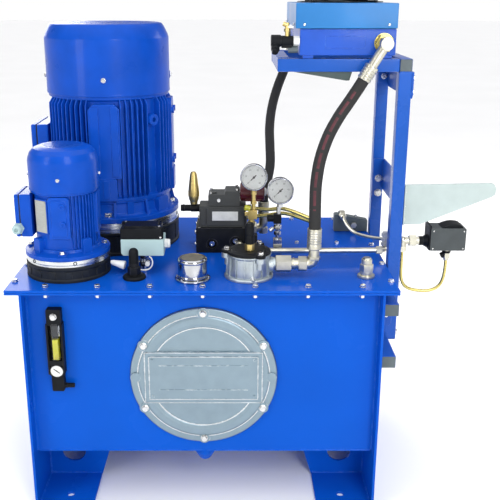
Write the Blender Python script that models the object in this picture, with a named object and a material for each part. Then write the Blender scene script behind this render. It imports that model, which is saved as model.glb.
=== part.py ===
"""Hydraulic reservoir with two motor-pump sets, valves, gauges and an air-oil cooler.

Metres, +Z up, +X to the right and +Y to the back. Every piece hangs on one empty,
which puts the middle of the unit's footprint at the world origin, on the floor.
"""

import math

import bmesh
import bpy
from mathutils import Matrix, Vector

GAP = 0.0003  # between pieces that touch

# Tank
LID_TOP = 0.577
LID_HALF_WIDTH = 0.449
LID_DEPTH = 0.625
LID_THICKNESS = 0.006
FLANGE_THICKNESS = 0.0052
SHEET = 0.005
SIDE_SHEET = 0.006
SIDE_OUTSIDE = 0.4175
SIDE_FRONT = 0.005
RECESS = 0.040  # the front and back plates stand this far inside the lid's edge
TANK_BOTTOM = 0.1433
LEG_WEB = 0.154  # a leg's web stands this far inside the lid's edge
LEG_INNER = 0.2765
COVER_HEIGHT = 0.3466
COVER_RADIUS = 0.175
DRAIN = (0, 0.0745)

# Motors and pumps: centres on the lid
LARGE_MOTOR = (-0.2547, 0.423)
SMALL_MOTOR = (-0.327, 0.1435)

# Lid fittings
BREATHER = (-0.025, 0.080)
FILTER = (0.107, 0.102)
FILTER_HEAD_TOP = 0.0595
FILTER_COVER_TOP = 0.0695
FILTER_LUGS = (60, 180, 300)
INDICATOR = (0.1085, 0.085)
LEVEL_SWITCH = (-0.146, 0.150)
SENSOR = (-0.163, 0.086)
MANIFOLD_LOW = (-0.026, 0.278)
MANIFOLD_HIGH = (0.107, 0.398)
GAUGE_RADIUS = 0.034
GAUGE_FRONT = 0.236
GAUGE_1 = (0.121, 0.208)  # X, and height over the lid
GAUGE_2 = (0.187, 0.174)

# Pressure switch: its middle, its neck's height over the lid, and the elbow it hangs on
SWITCH_Y = 0.232
SWITCH_NECK = 0.048
SWITCH_ELBOW = 0.4965

# Cooler frame
TUBE = 0.030
RAIL_HEIGHTS = (-0.056, -0.187)  # rail centres, from the lid's top
POST_FRONTS = (0.185, 0.470)
RAIL_OUTSIDE = 0.453
POST_INSIDE = RAIL_OUTSIDE + GAP
POST_OUTSIDE = 0.484
FRAME_LEFT = 0.172
FRAME_TOP = 0.499  # over the lid
ARM_TIP = 0.709

# Cooler
COOLER_LEFT = 0.2217
COOLER_RIGHT = 0.4424
COOLER_BOTTOM = 0.506
COOLER_TOP = 0.566
SHROUD_TOP = 0.622
COOLER_CENTRE = (0.330, 0.3425)

# Hose ferrules on the cooler, from waist to open end: X, Y and height over the lid
FRONT_FERRULE = ((0.385, 0.152, 0.486), (0.3665, 0.152, 0.4545))
REAR_FERRULE = ((0.229, 0.532, 0.508), (0.216, 0.532, 0.466))

SHIFT_X = (ARM_TIP - LID_HALF_WIDTH) / 2
SHIFT_Y = LID_DEPTH / 2

SMOOTH_ANGLE = math.radians(32)


# Tools


def clear_scene():
    for old in list(bpy.data.objects):
        bpy.data.objects.remove(old)


def material(name, colour, roughness, metallic=0.0):
    """A plain Principled material, made once for each name."""
    found = bpy.data.materials.get(name)
    if found:
        return found
    made = bpy.data.materials.new(name)
    made.use_nodes = True
    shader = made.node_tree.nodes["Principled BSDF"]
    shader.inputs["Base Color"].default_value = (*colour, 1.0)
    shader.inputs["Roughness"].default_value = roughness
    shader.inputs["Metallic"].default_value = metallic
    return made


def over_lid(height):
    return LID_TOP + height


def box(low, high):
    """A box between two corners."""
    bm = bmesh.new()
    middle = (Vector(low) + Vector(high)) / 2
    size = Vector(high) - Vector(low)
    place = Matrix.Translation(middle) @ Matrix.Diagonal((*size, 1.0))
    bmesh.ops.create_cube(bm, size=1.0, matrix=place)
    return bm


def turned(profile, segments=24, at=(0, 0, 0), axis="Z", phase=0.0):
    """A turned solid: profile is a loop of (radius, height) points; radius 0 is on the axis.

    A phase, in radians, keeps the corners of solids on one axis from meeting exactly.
    """
    bm = bmesh.new()
    loops = []
    for radius, height in profile:
        if radius == 0:
            loops.append([bm.verts.new((0, 0, height))])
            continue
        turns = [phase + 2 * math.pi * step / segments for step in range(segments)]
        corners = [(radius * math.cos(turn), radius * math.sin(turn), height) for turn in turns]
        loops.append([bm.verts.new(corner) for corner in corners])
    for loop, following in zip(loops, loops[1:] + loops[:1]):
        for step in range(segments):
            after = (step + 1) % segments
            corners = [loop[step % len(loop)], loop[after % len(loop)]]
            corners += [following[after % len(following)], following[step % len(following)]]
            corners = list(dict.fromkeys(corners))
            if len(corners) > 2:
                bm.faces.new(corners)
    turn_axis(bm, axis)
    bmesh.ops.translate(bm, verts=bm.verts, vec=at)
    bmesh.ops.recalc_face_normals(bm, faces=bm.faces)
    return bm


def turn_axis(bm, axis):
    """Turns a solid made along Z so that it runs along another axis."""
    turns = {
        "X": Matrix.Rotation(math.radians(90), 3, "Y"),
        "Y": Matrix.Rotation(math.radians(90), 3, "X"),
        "Z": Matrix.Identity(3),
    }
    bmesh.ops.rotate(bm, verts=bm.verts, cent=(0, 0, 0), matrix=turns[axis])


def disc(radius, low, high):
    """The profile of a plain cylinder."""
    return [(0, low), (radius, low), (radius, high), (0, high)]


def ring(inner, outer, low, high):
    """The profile of a plain ring."""
    return [(inner, low), (outer, low), (outer, high), (inner, high)]


def rod(radius, start, end, segments=12):
    """A round rod between two points."""
    start, end = Vector(start), Vector(end)
    bm = turned(disc(radius, 0, (end - start).length), segments, phase=7 * radius)
    facing = Vector((0, 0, 1)).rotation_difference(end - start).to_matrix()
    bmesh.ops.rotate(bm, verts=bm.verts, cent=(0, 0, 0), matrix=facing)
    bmesh.ops.translate(bm, verts=bm.verts, vec=start)
    return bm


def sheet(outline, low, high):
    """A sheet cut to an outline of (x, z) points, from y = low to y = high."""
    bm = bmesh.new()
    face = bm.faces.new([bm.verts.new((x, low, z)) for x, z in outline])
    grown = bmesh.ops.extrude_face_region(bm, geom=[face])
    moved = [item for item in grown["geom"] if isinstance(item, bmesh.types.BMVert)]
    bmesh.ops.translate(bm, verts=moved, vec=(0, high - low, 0))
    bmesh.ops.recalc_face_normals(bm, faces=bm.faces)
    return bm


def loose_object(name, bm):
    mesh = bpy.data.meshes.new(name)
    bm.to_mesh(mesh)
    bm.free()
    made = bpy.data.objects.new(name, mesh)
    bpy.context.scene.collection.objects.link(made)
    return made


def piece(name, solids, finish, at=(0, 0, 0), cuts=()):
    """One sub-part: its solids joined, less its cuts, placed at a point of the unit."""
    base = loose_object(name, solids[0])
    tools = []
    for operation, group in (("UNION", solids[1:]), ("DIFFERENCE", cuts)):
        for solid in group:
            tool = loose_object("tool", solid)
            tools.append(tool)
            change = base.modifiers.new(operation.lower(), "BOOLEAN")
            change.operation = operation
            change.solver = "EXACT"
            change.object = tool
    if tools:
        shaped = base.evaluated_get(bpy.context.evaluated_depsgraph_get())
        mesh = bpy.data.meshes.new_from_object(shaped)
        base.modifiers.clear()
        base.data = mesh
        for tool in tools:
            bpy.data.objects.remove(tool)
    base.data.name = name
    base.data.materials.clear()
    base.data.materials.append(finish)
    base.data.shade_smooth()
    base.data.set_sharp_from_angle(angle=SMOOTH_ANGLE)
    base.location = at
    base.parent = bpy.data.objects["unit"]
    return base


def smooth_route(points, spacing):
    """Evenly spaced points on a smooth curve; the first and last stretches stay straight."""
    points = [Vector(point) for point in points]
    fine = []
    for a, b, c, d in zip(points, points[1:], points[2:], points[3:]):
        for step in range(20):
            t = step / 20
            bend = 2 * a - 5 * b + 4 * c - d
            twist = 3 * b - a - 3 * c + d
            fine.append((2 * b + (c - a) * t + bend * t**2 + twist * t**3) / 2)
    fine.append(points[-2])
    total = sum((b - a).length for a, b in zip(fine, fine[1:]))
    count = max(2, round(total / spacing))
    route = [points[0], fine[0]]
    walked, wanted = 0.0, total / count
    for a, b in zip(fine, fine[1:]):
        length = (b - a).length
        while walked + length >= wanted * (len(route) - 1) and len(route) <= count:
            route.append(a.lerp(b, (wanted * (len(route) - 1) - walked) / length))
        walked += length
    return [*route, points[-2], points[-1]]


def straight_from(ferrule, length):
    """The two points of a hose's straight stretch at a ferrule, from its face outwards."""
    waist, end = Vector(ferrule[0]), Vector(ferrule[1])
    along = (end - waist).normalized()
    return [end + GAP * along, end + length * along]


def tube(name, points, radius, finish, sides=2):
    """A bent pipe or hose of one diameter."""
    route = smooth_route(points, 5 * radius)
    curve = bpy.data.curves.new(name, "CURVE")
    curve.dimensions = "3D"
    curve.bevel_depth = radius
    curve.bevel_resolution = sides
    curve.use_fill_caps = True
    spline = curve.splines.new("POLY")
    spline.points.add(len(route) - 1)
    for point, place in zip(spline.points, route):
        point.co = (*place, 1.0)
    curve.materials.append(finish)
    made = bpy.data.objects.new(name, curve)
    bpy.context.scene.collection.objects.link(made)
    made.parent = bpy.data.objects["unit"]
    return made


# Materials


def blue_paint():
    return material("blue_paint", (0.010, 0.090, 0.700), 0.30)


def motor_paint():
    return material("motor_paint", (0.008, 0.060, 0.520), 0.38)


def cast_aluminium():
    return material("cast_aluminium", (0.42, 0.46, 0.47), 0.42, 0.9)


def zinc():
    return material("zinc_plated_steel", (0.62, 0.60, 0.50), 0.35, 0.9)


def brass():
    return material("brass", (0.62, 0.48, 0.18), 0.32, 0.9)


def chrome():
    return material("chrome", (0.75, 0.75, 0.74), 0.10, 1.0)


def black_rubber():
    return material("black_rubber", (0.012, 0.013, 0.015), 0.70)


def black_plastic():
    return material("black_plastic", (0.015, 0.015, 0.017), 0.45)


def dark_steel():
    return material("dark_steel", (0.035, 0.038, 0.040), 0.50, 0.4)


def rotor_steel():
    return material("rotor_steel", (0.35, 0.35, 0.36), 0.40, 1.0)


def grey_plastic():
    return material("grey_plastic", (0.10, 0.13, 0.14), 0.55)


# Tank


def tank_plates():
    top = over_lid(-LID_THICKNESS - FLANGE_THICKNESS - 2 * GAP)
    inside = SIDE_OUTSIDE - SIDE_SHEET - GAP
    front = box((-inside, RECESS, TANK_BOTTOM), (inside, RECESS + SHEET, top))
    manhole = turned(disc(0.145, -0.02, 0.02), 32, (0, RECESS, COVER_HEIGHT), "Y")
    piece("tank_front_plate", [front], blue_paint(), cuts=[manhole])

    back = LID_DEPTH - RECESS
    floor_front = RECESS + SHEET + GAP
    floor = box((-inside, floor_front, TANK_BOTTOM), (inside, back, TANK_BOTTOM + SHEET))
    rear = box((-inside, back - SHEET, TANK_BOTTOM + 0.001), (inside, back, top))
    drain = turned(disc(0.019, -0.02, 0.02), 24, (*DRAIN, TANK_BOTTOM))
    piece("tank_wrapper", [floor, rear], blue_paint(), cuts=[drain])

    boss = turned([(0, -0.041), (0.012, -0.041), (0.026, -0.018), (0.026, -GAP), (0, -GAP)], 24)
    stem = turned(disc(0.0185, -0.010, 0.007), 24)
    piece("drain_plug", [boss, stem], blue_paint(), (*DRAIN, TANK_BOTTOM))


def tank_side(name, hand):
    """A side plate with the two bent feet that are welded to it; hand is -1 or 1."""
    top = over_lid(-LID_THICKNESS - FLANGE_THICKNESS - 2 * GAP)
    weld = SIDE_OUTSIDE - SIDE_SHEET - 0.0005  # the feet reach this far out, into the plate
    inside = SIDE_OUTSIDE - SIDE_SHEET
    plate_x = sorted((hand * inside, hand * SIDE_OUTSIDE))
    back = LID_DEPTH - SIDE_FRONT
    solids = [box((plate_x[0], SIDE_FRONT, 0), (plate_x[1], back, top))]
    cuts = []
    outline = [(weld + 0.002, 0.0), (LEG_INNER, 0.0), (0.255, 0.070)]
    outline += [(0.255, TANK_BOTTOM - GAP), (weld + 0.002, TANK_BOTTOM - GAP)]
    outline = [(hand * x, z) for x, z in outline]
    for web_front, foot in (
        (LEG_WEB, (SIDE_FRONT + 0.001, LEG_WEB + 0.001)),
        (LID_DEPTH - LEG_WEB - SIDE_SHEET, (LID_DEPTH - LEG_WEB - 0.001, back - 0.001)),
    ):
        solids.append(sheet(outline, web_front, web_front + SIDE_SHEET))
        foot_x = sorted((hand * LEG_INNER, hand * (weld + 0.002)))
        solids.append(box((foot_x[0], foot[0], 0), (foot_x[1], foot[1], SIDE_SHEET)))
        window = (hand * 0.348, web_front, 0.072)
        cuts.append(turned(disc(0.031, -0.02, 0.02), 24, window, "Y"))
        anchor_y = sum(foot) / 2 + 0.022 * (1 if web_front > 0.3 else -1)
        cuts.append(turned(disc(0.009, -0.02, 0.02), 16, (hand * 0.341, anchor_y, 0)))
    piece(name, solids, blue_paint(), cuts=cuts)


def tank_top():
    flange_top = over_lid(-LID_THICKNESS - GAP)
    flange_low = flange_top - FLANGE_THICKNESS
    outer = box((-LID_HALF_WIDTH, 0, flange_low), (LID_HALF_WIDTH, LID_DEPTH, flange_top))
    mouth = box((-0.400, 0.056, flange_low - 0.01), (0.400, LID_DEPTH - 0.056, flange_top + 0.01))
    piece("tank_flange", [outer], blue_paint(), cuts=[mouth])

    low = over_lid(-LID_THICKNESS)
    lid = box((-LID_HALF_WIDTH, 0, low), (LID_HALF_WIDTH, LID_DEPTH, LID_TOP))
    holes = [
        (LARGE_MOTOR, 0.104, 32),
        (SMALL_MOTOR, 0.056, 24),
        (BREATHER, 0.0225, 16),
        (FILTER, 0.0425, 24),
        (LEVEL_SWITCH, 0.008, 12),
    ]
    cuts = []
    for (x, y), radius, segments in holes:
        cuts.append(turned(disc(radius, -0.02, 0.02), segments, (x, y, LID_TOP)))
    piece("tank_lid", [lid], blue_paint(), cuts=cuts)


def inspection_cover():
    """A cast cover: a rim, a raised ring and a raised name panel, which stays blank."""
    rim = 0.008
    raised = 0.015
    profile = [(0, 0), (COVER_RADIUS, 0), (COVER_RADIUS, rim), (0.156, rim)]
    profile += [(0.154, raised), (0.131, raised), (0.129, rim), (0, rim)]
    dish = turned(profile, 32, axis="Y")
    panel = box((-0.144, -0.013, -0.062), (0.144, -0.004, 0.062))
    solids = [dish, panel]
    for step in range(6):
        turn = math.radians(30 + 60 * step)
        place = (0.163 * math.cos(turn), 0, 0.163 * math.sin(turn))
        solids.append(turned(disc(0.0095, 0.004, 0.0145), 6, place, "Y"))
    place = (0, RECESS - GAP, COVER_HEIGHT)
    piece("inspection_cover", solids, cast_aluminium(), place)


def level_gauge():
    """A sight glass with a dial thermometer under it."""
    x_low, x_high = -0.3656, -0.3300
    middle = (x_low + x_high) / 2
    front, back = 0.015, RECESS - GAP
    body = box((x_low, front, over_lid(-0.262)), (x_high, back, over_lid(-0.054)))
    dial = turned(disc(0.0165, 0, 0.012), 24, (middle, front + 0.002, over_lid(-0.209)), "Y")
    stub = rod(0.0065, (x_high - 0.004, 0.028, over_lid(-0.250)), (-0.307, 0.028, over_lid(-0.250)))
    window_low, window_high = over_lid(-0.185), over_lid(-0.088)
    window = box((middle - 0.009, 0, window_low), (middle + 0.009, 0.028, window_high))
    piece("level_gauge", [body, dial, stub], black_plastic(), cuts=[window])

    clear = material("oil_glass", (0.70, 0.62, 0.20), 0.08)
    low = (middle - 0.009 + GAP, 0.017, window_low + GAP)
    high = (middle + 0.009 - GAP, 0.028 - GAP, window_high - GAP)
    piece("level_gauge_glass", [box(low, high)], clear)


# Motors


def large_motor():
    x, y = LARGE_MOTOR
    at = (x, y, LID_TOP)
    bore = 0.0225

    shield = [(bore, 0.0856), (0.175, 0.0856), (0.175, 0.098), (0.160, 0.101)]
    shield += [(0.152, 0.1377), (bore, 0.1377)]
    piece("large_motor_flange", [turned(shield, 24)], motor_paint(), at)

    housing = [(0.092, 0.138), (0.165, 0.138), (0.165, 0.4), (bore, 0.4), (bore, 0.386), (0.092, 0.386)]
    piece("large_motor_housing", [turned(housing, 24)], motor_paint(), at)

    cover = [(0.155, 0.4003), (0.158, 0.4003), (0.158, 0.540), (0.140, 0.572), (0, 0.572)]
    cover += [(0, 0.569), (0.138, 0.569), (0.155, 0.539)]
    piece("large_motor_fan_cover", [turned(cover, 24)], motor_paint(), at)

    rotor = [(0, -0.02), (0.021, -0.02), (0.021, -0.008), (0.045, -0.008), (0.045, 0.060)]
    rotor += [(0.021, 0.060), (0.021, 0.165), (0.088, 0.165), (0.088, 0.365), (0.021, 0.365)]
    rotor += [(0.021, 0.455), (0, 0.455)]
    piece("large_motor_rotor", [turned(rotor, 16)], rotor_steel(), at)

    fan = fan_wheel(0.021 + GAP, 0.045, 0.130, 0.415, 0.450, 7)
    piece("large_motor_fan", fan, black_plastic(), at)

    box_low = (-0.4485, y - 0.075, over_lid(0.190))
    box_high = (-0.395, y + 0.075, over_lid(0.322))
    body = turned(disc(0.1655, 0.1, 0.4), 24, at)
    case = box(box_low, box_high)
    piece("large_motor_terminal_box", [case], motor_paint(), cuts=[body])


def small_motor():
    x, y = SMALL_MOTOR
    at = (x, y, LID_TOP)
    bore = 0.0125

    housing = [(bore, 0.0531), (0.100, 0.0531), (0.100, 0.0635), (0.078, 0.068), (0.079, 0.2066)]
    housing += [(bore, 0.2066), (bore, 0.198), (0.045, 0.198), (0.045, 0.085), (bore, 0.085)]
    piece("small_motor_housing", [turned(housing, 20)], motor_paint(), at)

    cover = [(0.0785, 0.2069), (0.081, 0.2069), (0.081, 0.278), (0.072, 0.300), (0.045, 0.3085)]
    cover += [(0, 0.3085), (0, 0.306), (0.044, 0.306), (0.070, 0.298), (0.0785, 0.277)]
    piece("small_motor_fan_cover", [turned(cover, 20)], motor_paint(), at)

    rotor = [(0, -0.015), (0.011, -0.015), (0.011, -0.006), (0.024, -0.006), (0.024, 0.036)]
    rotor += [(0.011, 0.036), (0.011, 0.095), (0.042, 0.095), (0.042, 0.185), (0.011, 0.185)]
    rotor += [(0.011, 0.235), (0, 0.235)]
    piece("small_motor_rotor", [turned(rotor, 12)], rotor_steel(), at)

    fan = fan_wheel(0.011 + GAP, 0.024, 0.064, 0.214, 0.234, 6)
    piece("small_motor_fan", fan, black_plastic(), at)

    body = turned(disc(0.0795, 0.05, 0.25), 20, at)
    case = box((-0.436, y - 0.048, over_lid(0.098)), (-0.385, y + 0.048, over_lid(0.200)))
    gland = turned(disc(0.0145, -0.003, 0.020), 12, (-0.4300, y - 0.048, over_lid(0.1195)), "Y")
    piece("small_motor_terminal_box", [case, gland], motor_paint(), cuts=[body])


def fan_wheel(bore, hub, tip, low, high, blades):
    """A fan's hub and its straight blades, to be joined."""
    solids = [turned(ring(bore, hub, low, high), 16)]
    for step in range(blades):
        blade = box((hub - 0.002, -0.0012, low + 0.001), (tip, 0.0012, high - 0.001))
        pitch = Matrix.Rotation(2 * math.pi * step / blades, 3, "Z")
        bmesh.ops.rotate(blade, verts=blade.verts, cent=(0, 0, 0), matrix=pitch)
        solids.append(blade)
    return solids


def pump_mounts():
    """Below each motor: the aluminium bellhousing, the rubber ring under its flange, the pump."""
    at = (*LARGE_MOTOR, LID_TOP)
    bell = [(0.090, 0.0853), (0.175, 0.0853), (0.175, 0.0598), (0.102, 0.0598), (0.102, -0.100)]
    bell += [(0.030, -0.100), (0.030, -0.085), (0.090, -0.085)]
    piece("large_bellhousing", [turned(bell, 24)], cast_aluminium(), at)
    piece("large_damping_ring", [turned(ring(0.104, 0.175, GAP, 0.0595), 24)], black_rubber(), at)
    body = turned([(0, -0.088), (0.028, -0.088), (0.028, -0.1003), (0.072, -0.1003),
                   (0.072, -0.250), (0.020, -0.250), (0.020, -0.330), (0.045, -0.330),
                   (0.045, -0.415), (0, -0.415)], 16)
    piece("large_pump", [body], dark_steel(), at)

    at = (*SMALL_MOTOR, LID_TOP)
    bell = [(0.046, 0.0528), (0.0993, 0.0528), (0.0993, 0.0374), (0.054, 0.0374), (0.054, -0.060)]
    bell += [(0.018, -0.060), (0.018, -0.050), (0.046, -0.050)]
    piece("small_bellhousing", [turned(bell, 20)], cast_aluminium(), at)
    piece("small_damping_ring", [turned(ring(0.056, 0.0993, GAP, 0.0371), 20)], black_rubber(), at)
    body = turned([(0, -0.052), (0.016, -0.052), (0.016, -0.0603), (0.040, -0.0603),
                   (0.040, -0.160), (0.012, -0.160), (0.012, -0.330), (0.030, -0.330),
                   (0.030, -0.415), (0, -0.415)], 12)
    piece("small_pump", [body], dark_steel(), at)


# Lid fittings


def breather():
    at = (*BREATHER, LID_TOP)
    neck = [(0.019, 0.024), (0.022, 0.024), (0.022, 0.006), (0.0415, 0.005), (0.0415, GAP)]
    neck += [(0.022, GAP), (0.022, -0.120), (0, -0.120), (0, -0.117), (0.019, -0.117)]
    piece("breather_neck", [turned(neck, 16)], chrome(), at)
    cap = [(0, 0.054), (0.031, 0.054), (0.0355, 0.050), (0.0355, 0.0065), (0.0225, 0.0065)]
    cap += [(0.0225, 0.028), (0, 0.028)]
    piece("breather_cap", [turned(cap, 20)], chrome(), at)


def return_filter():
    x, y = FILTER
    at = (x, y, LID_TOP)
    profile = [(0, GAP), (0.058, GAP), (0.058, 0.006), (0.053, 0.008)]
    profile += [(0.053, FILTER_HEAD_TOP), (0, FILTER_HEAD_TOP)]
    ears, lugs = [], []
    for degrees in FILTER_LUGS:
        turn = math.radians(degrees)
        place = (0.052 * math.cos(turn), 0.052 * math.sin(turn), 0)
        ears.append(turned(disc(0.0115, 0.046, FILTER_HEAD_TOP), 12, place))
        lugs.append(turned(disc(0.0115, FILTER_HEAD_TOP + GAP, 0.072), 12, place))
    port = 0.031
    outlet = [
        rod(0.0095, (0.045, 0, port), (0.064, 0, port), 12),
        rod(0.0205, (0.062, 0, port), (0.102, 0, port), 6),
        rod(0.0125, (0.100, 0, port), (0.120, 0, port), 12),
        rod(0.0185, (0.117, 0, port), (0.137, 0, port), 6),
        rod(0.0135, (0.135, 0, port), (0.1560, 0, port), 12),
        rod(0.0150, (0.1536, 0, port - 0.014), (0.1536, 0, 0.072), 12),
        rod(0.0170, (0.1536, 0, 0.069), (0.1536, 0, 0.1178), 16),
    ]
    piece("filter_head", [turned(profile, 24), *ears, *outlet], cast_aluminium(), at)

    low = FILTER_HEAD_TOP + GAP
    profile = [(0, low), (0.051, low), (0.051, 0.066), (0.046, FILTER_COVER_TOP), (0, FILTER_COVER_TOP)]
    piece("filter_cover", [turned(profile, 20), *lugs], black_plastic(), at)

    bowl = [(0.0405, -0.280), (0.0405, -0.0003), (0.035, -0.0003), (0.035, -0.277), (0, -0.277), (0, -0.280)]
    piece("filter_bowl", [turned(bowl, 16)], grey_plastic(), at)

    low = FILTER_COVER_TOP + GAP
    hexagon = turned(disc(0.011, low, 0.087), 6)
    glass = turned([(0, 0.086), (0.0105, 0.086), (0.0105, 0.131), (0.008, 0.1365), (0, 0.1365)], 16)
    piece("clogging_indicator", [hexagon, glass], black_plastic(), (*INDICATOR, LID_TOP))


def level_switch():
    x, y = LEVEL_SWITCH
    at = (x, y, LID_TOP)
    case = box((-0.051, -0.032, 0.044), (0.051, 0.032, 0.116))
    stem = [(0, -0.302), (0.007, -0.302), (0.007, -0.296), (0.004, -0.296), (0.004, -0.034)]
    stem += [(0.007, -0.034), (0.007, -0.030), (0.004, -0.030), (0.004, GAP), (0.014, GAP)]
    stem += [(0.014, 0.020), (0.010, 0.022), (0.010, 0.046), (0, 0.046)]
    gland = rod(0.011, (0.049, 0, 0.066), (0.064, 0, 0.066))
    grey = material("switch_grey", (0.38, 0.52, 0.52), 0.5)
    piece("level_switch", [case, turned(stem, 12), gland], grey, at)
    foam = material("float_foam", (0.03, 0.03, 0.03), 0.6)
    buoy = turned(ring(0.0046, 0.022, -0.020, 0.020), 20)
    piece("level_switch_float", [buoy], foam, (x, y, over_lid(-0.070)))


def temperature_sensor():
    at = (*SENSOR, LID_TOP)
    base = turned(disc(0.027, GAP, 0.009), 24)
    hexagon = turned(disc(0.0155, 0.008, 0.030), 6)
    dome = [(0, 0.028), (0.0115, 0.028), (0.0115, 0.064), (0.009, 0.071), (0.004, 0.074), (0, 0.074)]
    piece("temperature_sensor", [base, hexagon, turned(dome, 16)], black_plastic(), at)


def valve_stack():
    x_low, y_low = MANIFOLD_LOW
    x_high, y_high = MANIFOLD_HIGH
    block = box((x_low, y_low, over_lid(GAP)), (x_high, y_high, over_lid(0.067)))
    ferrule_x, ferrule_y = 0.150, 0.366
    height = over_lid(0.042)
    elbow = [
        rod(0.0165, (x_high - 0.004, ferrule_y, height), (0.132, ferrule_y, height), 6),
        rod(0.0130, (0.128, ferrule_y, height), (ferrule_x, ferrule_y, height), 12),
        rod(0.0130, (ferrule_x, ferrule_y, over_lid(0.029)), (ferrule_x, ferrule_y, over_lid(0.080)), 12),
        rod(0.0155, (ferrule_x, ferrule_y, over_lid(0.075)), (ferrule_x, ferrule_y, over_lid(0.116)), 16),
    ]
    ports = []
    for port_x, port_z in ((0.015, 0.0229), (0.076, 0.0297)):
        ports.append(turned(disc(0.0135, -0.012, 0.012), 16, (port_x, y_low, over_lid(port_z)), "Y"))
    piece("valve_manifold", [block, *elbow], dark_steel(), cuts=ports)

    middle = box((-0.017, 0.284, over_lid(0.0673)), (0.1027, 0.348, over_lid(0.123)))
    upper = box((0.006, 0.286, over_lid(0.122)), (0.087, 0.350, over_lid(0.1625)))
    tee = box((-0.066, 0.300, over_lid(0.101)), (-0.015, 0.324, over_lid(0.1225)))
    piece("control_valve", [middle, upper, tee], dark_steel())

    maroon = material("solenoid_maroon", (0.070, 0.008, 0.012), 0.4)
    coil = rod(0.0235, (0.0873, 0.310, over_lid(0.155)), (0.150, 0.310, over_lid(0.155)), 20)
    pin = rod(0.008, (0.148, 0.310, over_lid(0.155)), (0.158, 0.310, over_lid(0.155)))
    piece("solenoid_coil", [coil, pin], maroon)

    knob = [(0, 0), (0.012, 0), (0.014, 0.010), (0.014, 0.030), (0.009, 0.052), (0.0065, 0.058)]
    knob += [(0.0065, 0.084), (0, 0.085)]
    piece("relief_valve_knob", [turned(knob, 16)], brass(), (-0.0318, 0.312, over_lid(0.1228)))


def pressure_gauge(name, centre, fittings):
    """A bottom-entry gauge: a cup for the dial, a stem, and what it stands on."""
    x, height = centre
    at = (x, GAUGE_FRONT, over_lid(height))
    cup = [(0, -0.028), (GAUGE_RADIUS - 0.002, -0.028), (GAUGE_RADIUS - 0.002, -0.007)]
    cup += [(GAUGE_RADIUS, -0.006), (GAUGE_RADIUS, 0), (0.0305, 0), (0.0305, -0.007), (0, -0.007)]
    case = turned(cup, 24, axis="Y")
    piece(name, [case, *fittings], chrome(), at)

    pointer_at = (x, GAUGE_FRONT + 0.0055, over_lid(height))
    hub = turned(disc(0.0032, 0, 0.0022), 12, axis="Y")
    needle = sheet([(0.009, -0.0012), (0.009, 0.0012), (-0.021, 0.0004), (-0.021, -0.0004)], -0.0014, -0.0004)
    aim = Matrix.Rotation(math.radians(-45), 3, "Y")
    bmesh.ops.rotate(needle, verts=needle.verts, cent=(0, 0, 0), matrix=aim)
    piece(name + "_pointer", [hub, needle], black_plastic(), pointer_at)


def gauges():
    back = 0.014
    stem = rod(0.006, (0, back, -0.030), (0, back, -0.090))
    block = box((-0.0135, back - 0.010, -0.108), (0.009, back + 0.010, -0.084))
    nipple = rod(0.006, (-0.005, back, -0.100), (-0.005, back, -0.150))
    foot = box((-0.0135, back - 0.012, -0.2075), (0.010, back + 0.012, -0.148))
    pressure_gauge("pressure_gauge_1", GAUGE_1, [stem, block, nipple, foot])

    back = 0.014
    stem = rod(0.0065, (-0.005, back, -0.030), (-0.005, back, -0.130))
    knob = rod(0.009, (-0.010, back, -0.073), (-0.032, back, -0.073))
    block = box((-0.016, back - 0.012, -0.1735), (0.006, back + 0.012, -0.126))
    valve = box((-0.016, back - 0.009, -0.085), (0.004, back + 0.009, -0.061))
    pressure_gauge("pressure_gauge_2", GAUGE_2, [stem, knob, block, valve])


def pipes():
    height = over_lid(0.0245)
    start = MANIFOLD_LOW[1] - GAP
    route = [(0.085, start, height), (0.085, start - 0.014, height), (0.092, 0.238, height)]
    route += [(0.118, 0.224, height), (0.160, 0.222, height), (0.300, 0.222, height)]
    route += [(0.430, 0.227, height), (0.446, 0.227, height)]
    tube("return_pipe", route, 0.007, zinc())

    route = [(0.376, 0.480, 0.050), (0.377, 0.440, 0.045), (0.380, 0.390, 0.041), (0.390, 0.330, 0.040)]
    route += [(0.413, 0.292, 0.041), (0.445, 0.262, 0.044), (0.466, 0.243, 0.047), (0.478, 0.232, 0.048)]
    route += [(SWITCH_ELBOW - 0.0095, SWITCH_Y, SWITCH_NECK)]
    route = [(x, y, over_lid(z)) for x, y, z in route]
    tube("pressure_pipe", route, 0.0045, zinc())


def pressure_switch():
    """A boxed switch on an elbow, with a loop of thin tube from under the box to the elbow."""
    y = SWITCH_Y
    height = over_lid(SWITCH_NECK)
    outlet_x = 0.609
    outlet_low = -0.0031
    drop_low = 0.0204
    case = box((0.557, y - 0.028, over_lid(0.0295)), (0.648, y + 0.028, over_lid(0.0875)))
    crown = box((0.585, y - 0.022, over_lid(0.0865)), (0.643, y + 0.022, over_lid(0.0965)))
    neck = rod(0.012, (0.533, y, height), (0.559, y, height))
    hexagon = rod(0.0145, (0.510, y, height), (0.535, y, height), 6)
    elbow = rod(0.009, (SWITCH_ELBOW, y, height), (0.512, y, height))
    drop = rod(0.009, (SWITCH_ELBOW, y, height + 0.009), (SWITCH_ELBOW, y, over_lid(drop_low)))
    outlet = rod(0.009, (outlet_x, y, over_lid(outlet_low)), (outlet_x, y, over_lid(0.032)), 6)
    piece("pressure_switch", [case, crown, neck, hexagon, elbow, drop, outlet], black_plastic())

    route = [(outlet_x, outlet_low - GAP), (outlet_x, -0.025), (0.605, -0.055), (0.594, -0.075)]
    route += [(0.572, -0.0855), (0.543, -0.0855), (0.516, -0.078), (0.501, -0.060), (0.4970, -0.030)]
    route += [(SWITCH_ELBOW, drop_low - GAP)]
    tube("drain_tube", [(x, y, over_lid(z)) for x, z in route], 0.004, brass())


# Cooler and its frame


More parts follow.
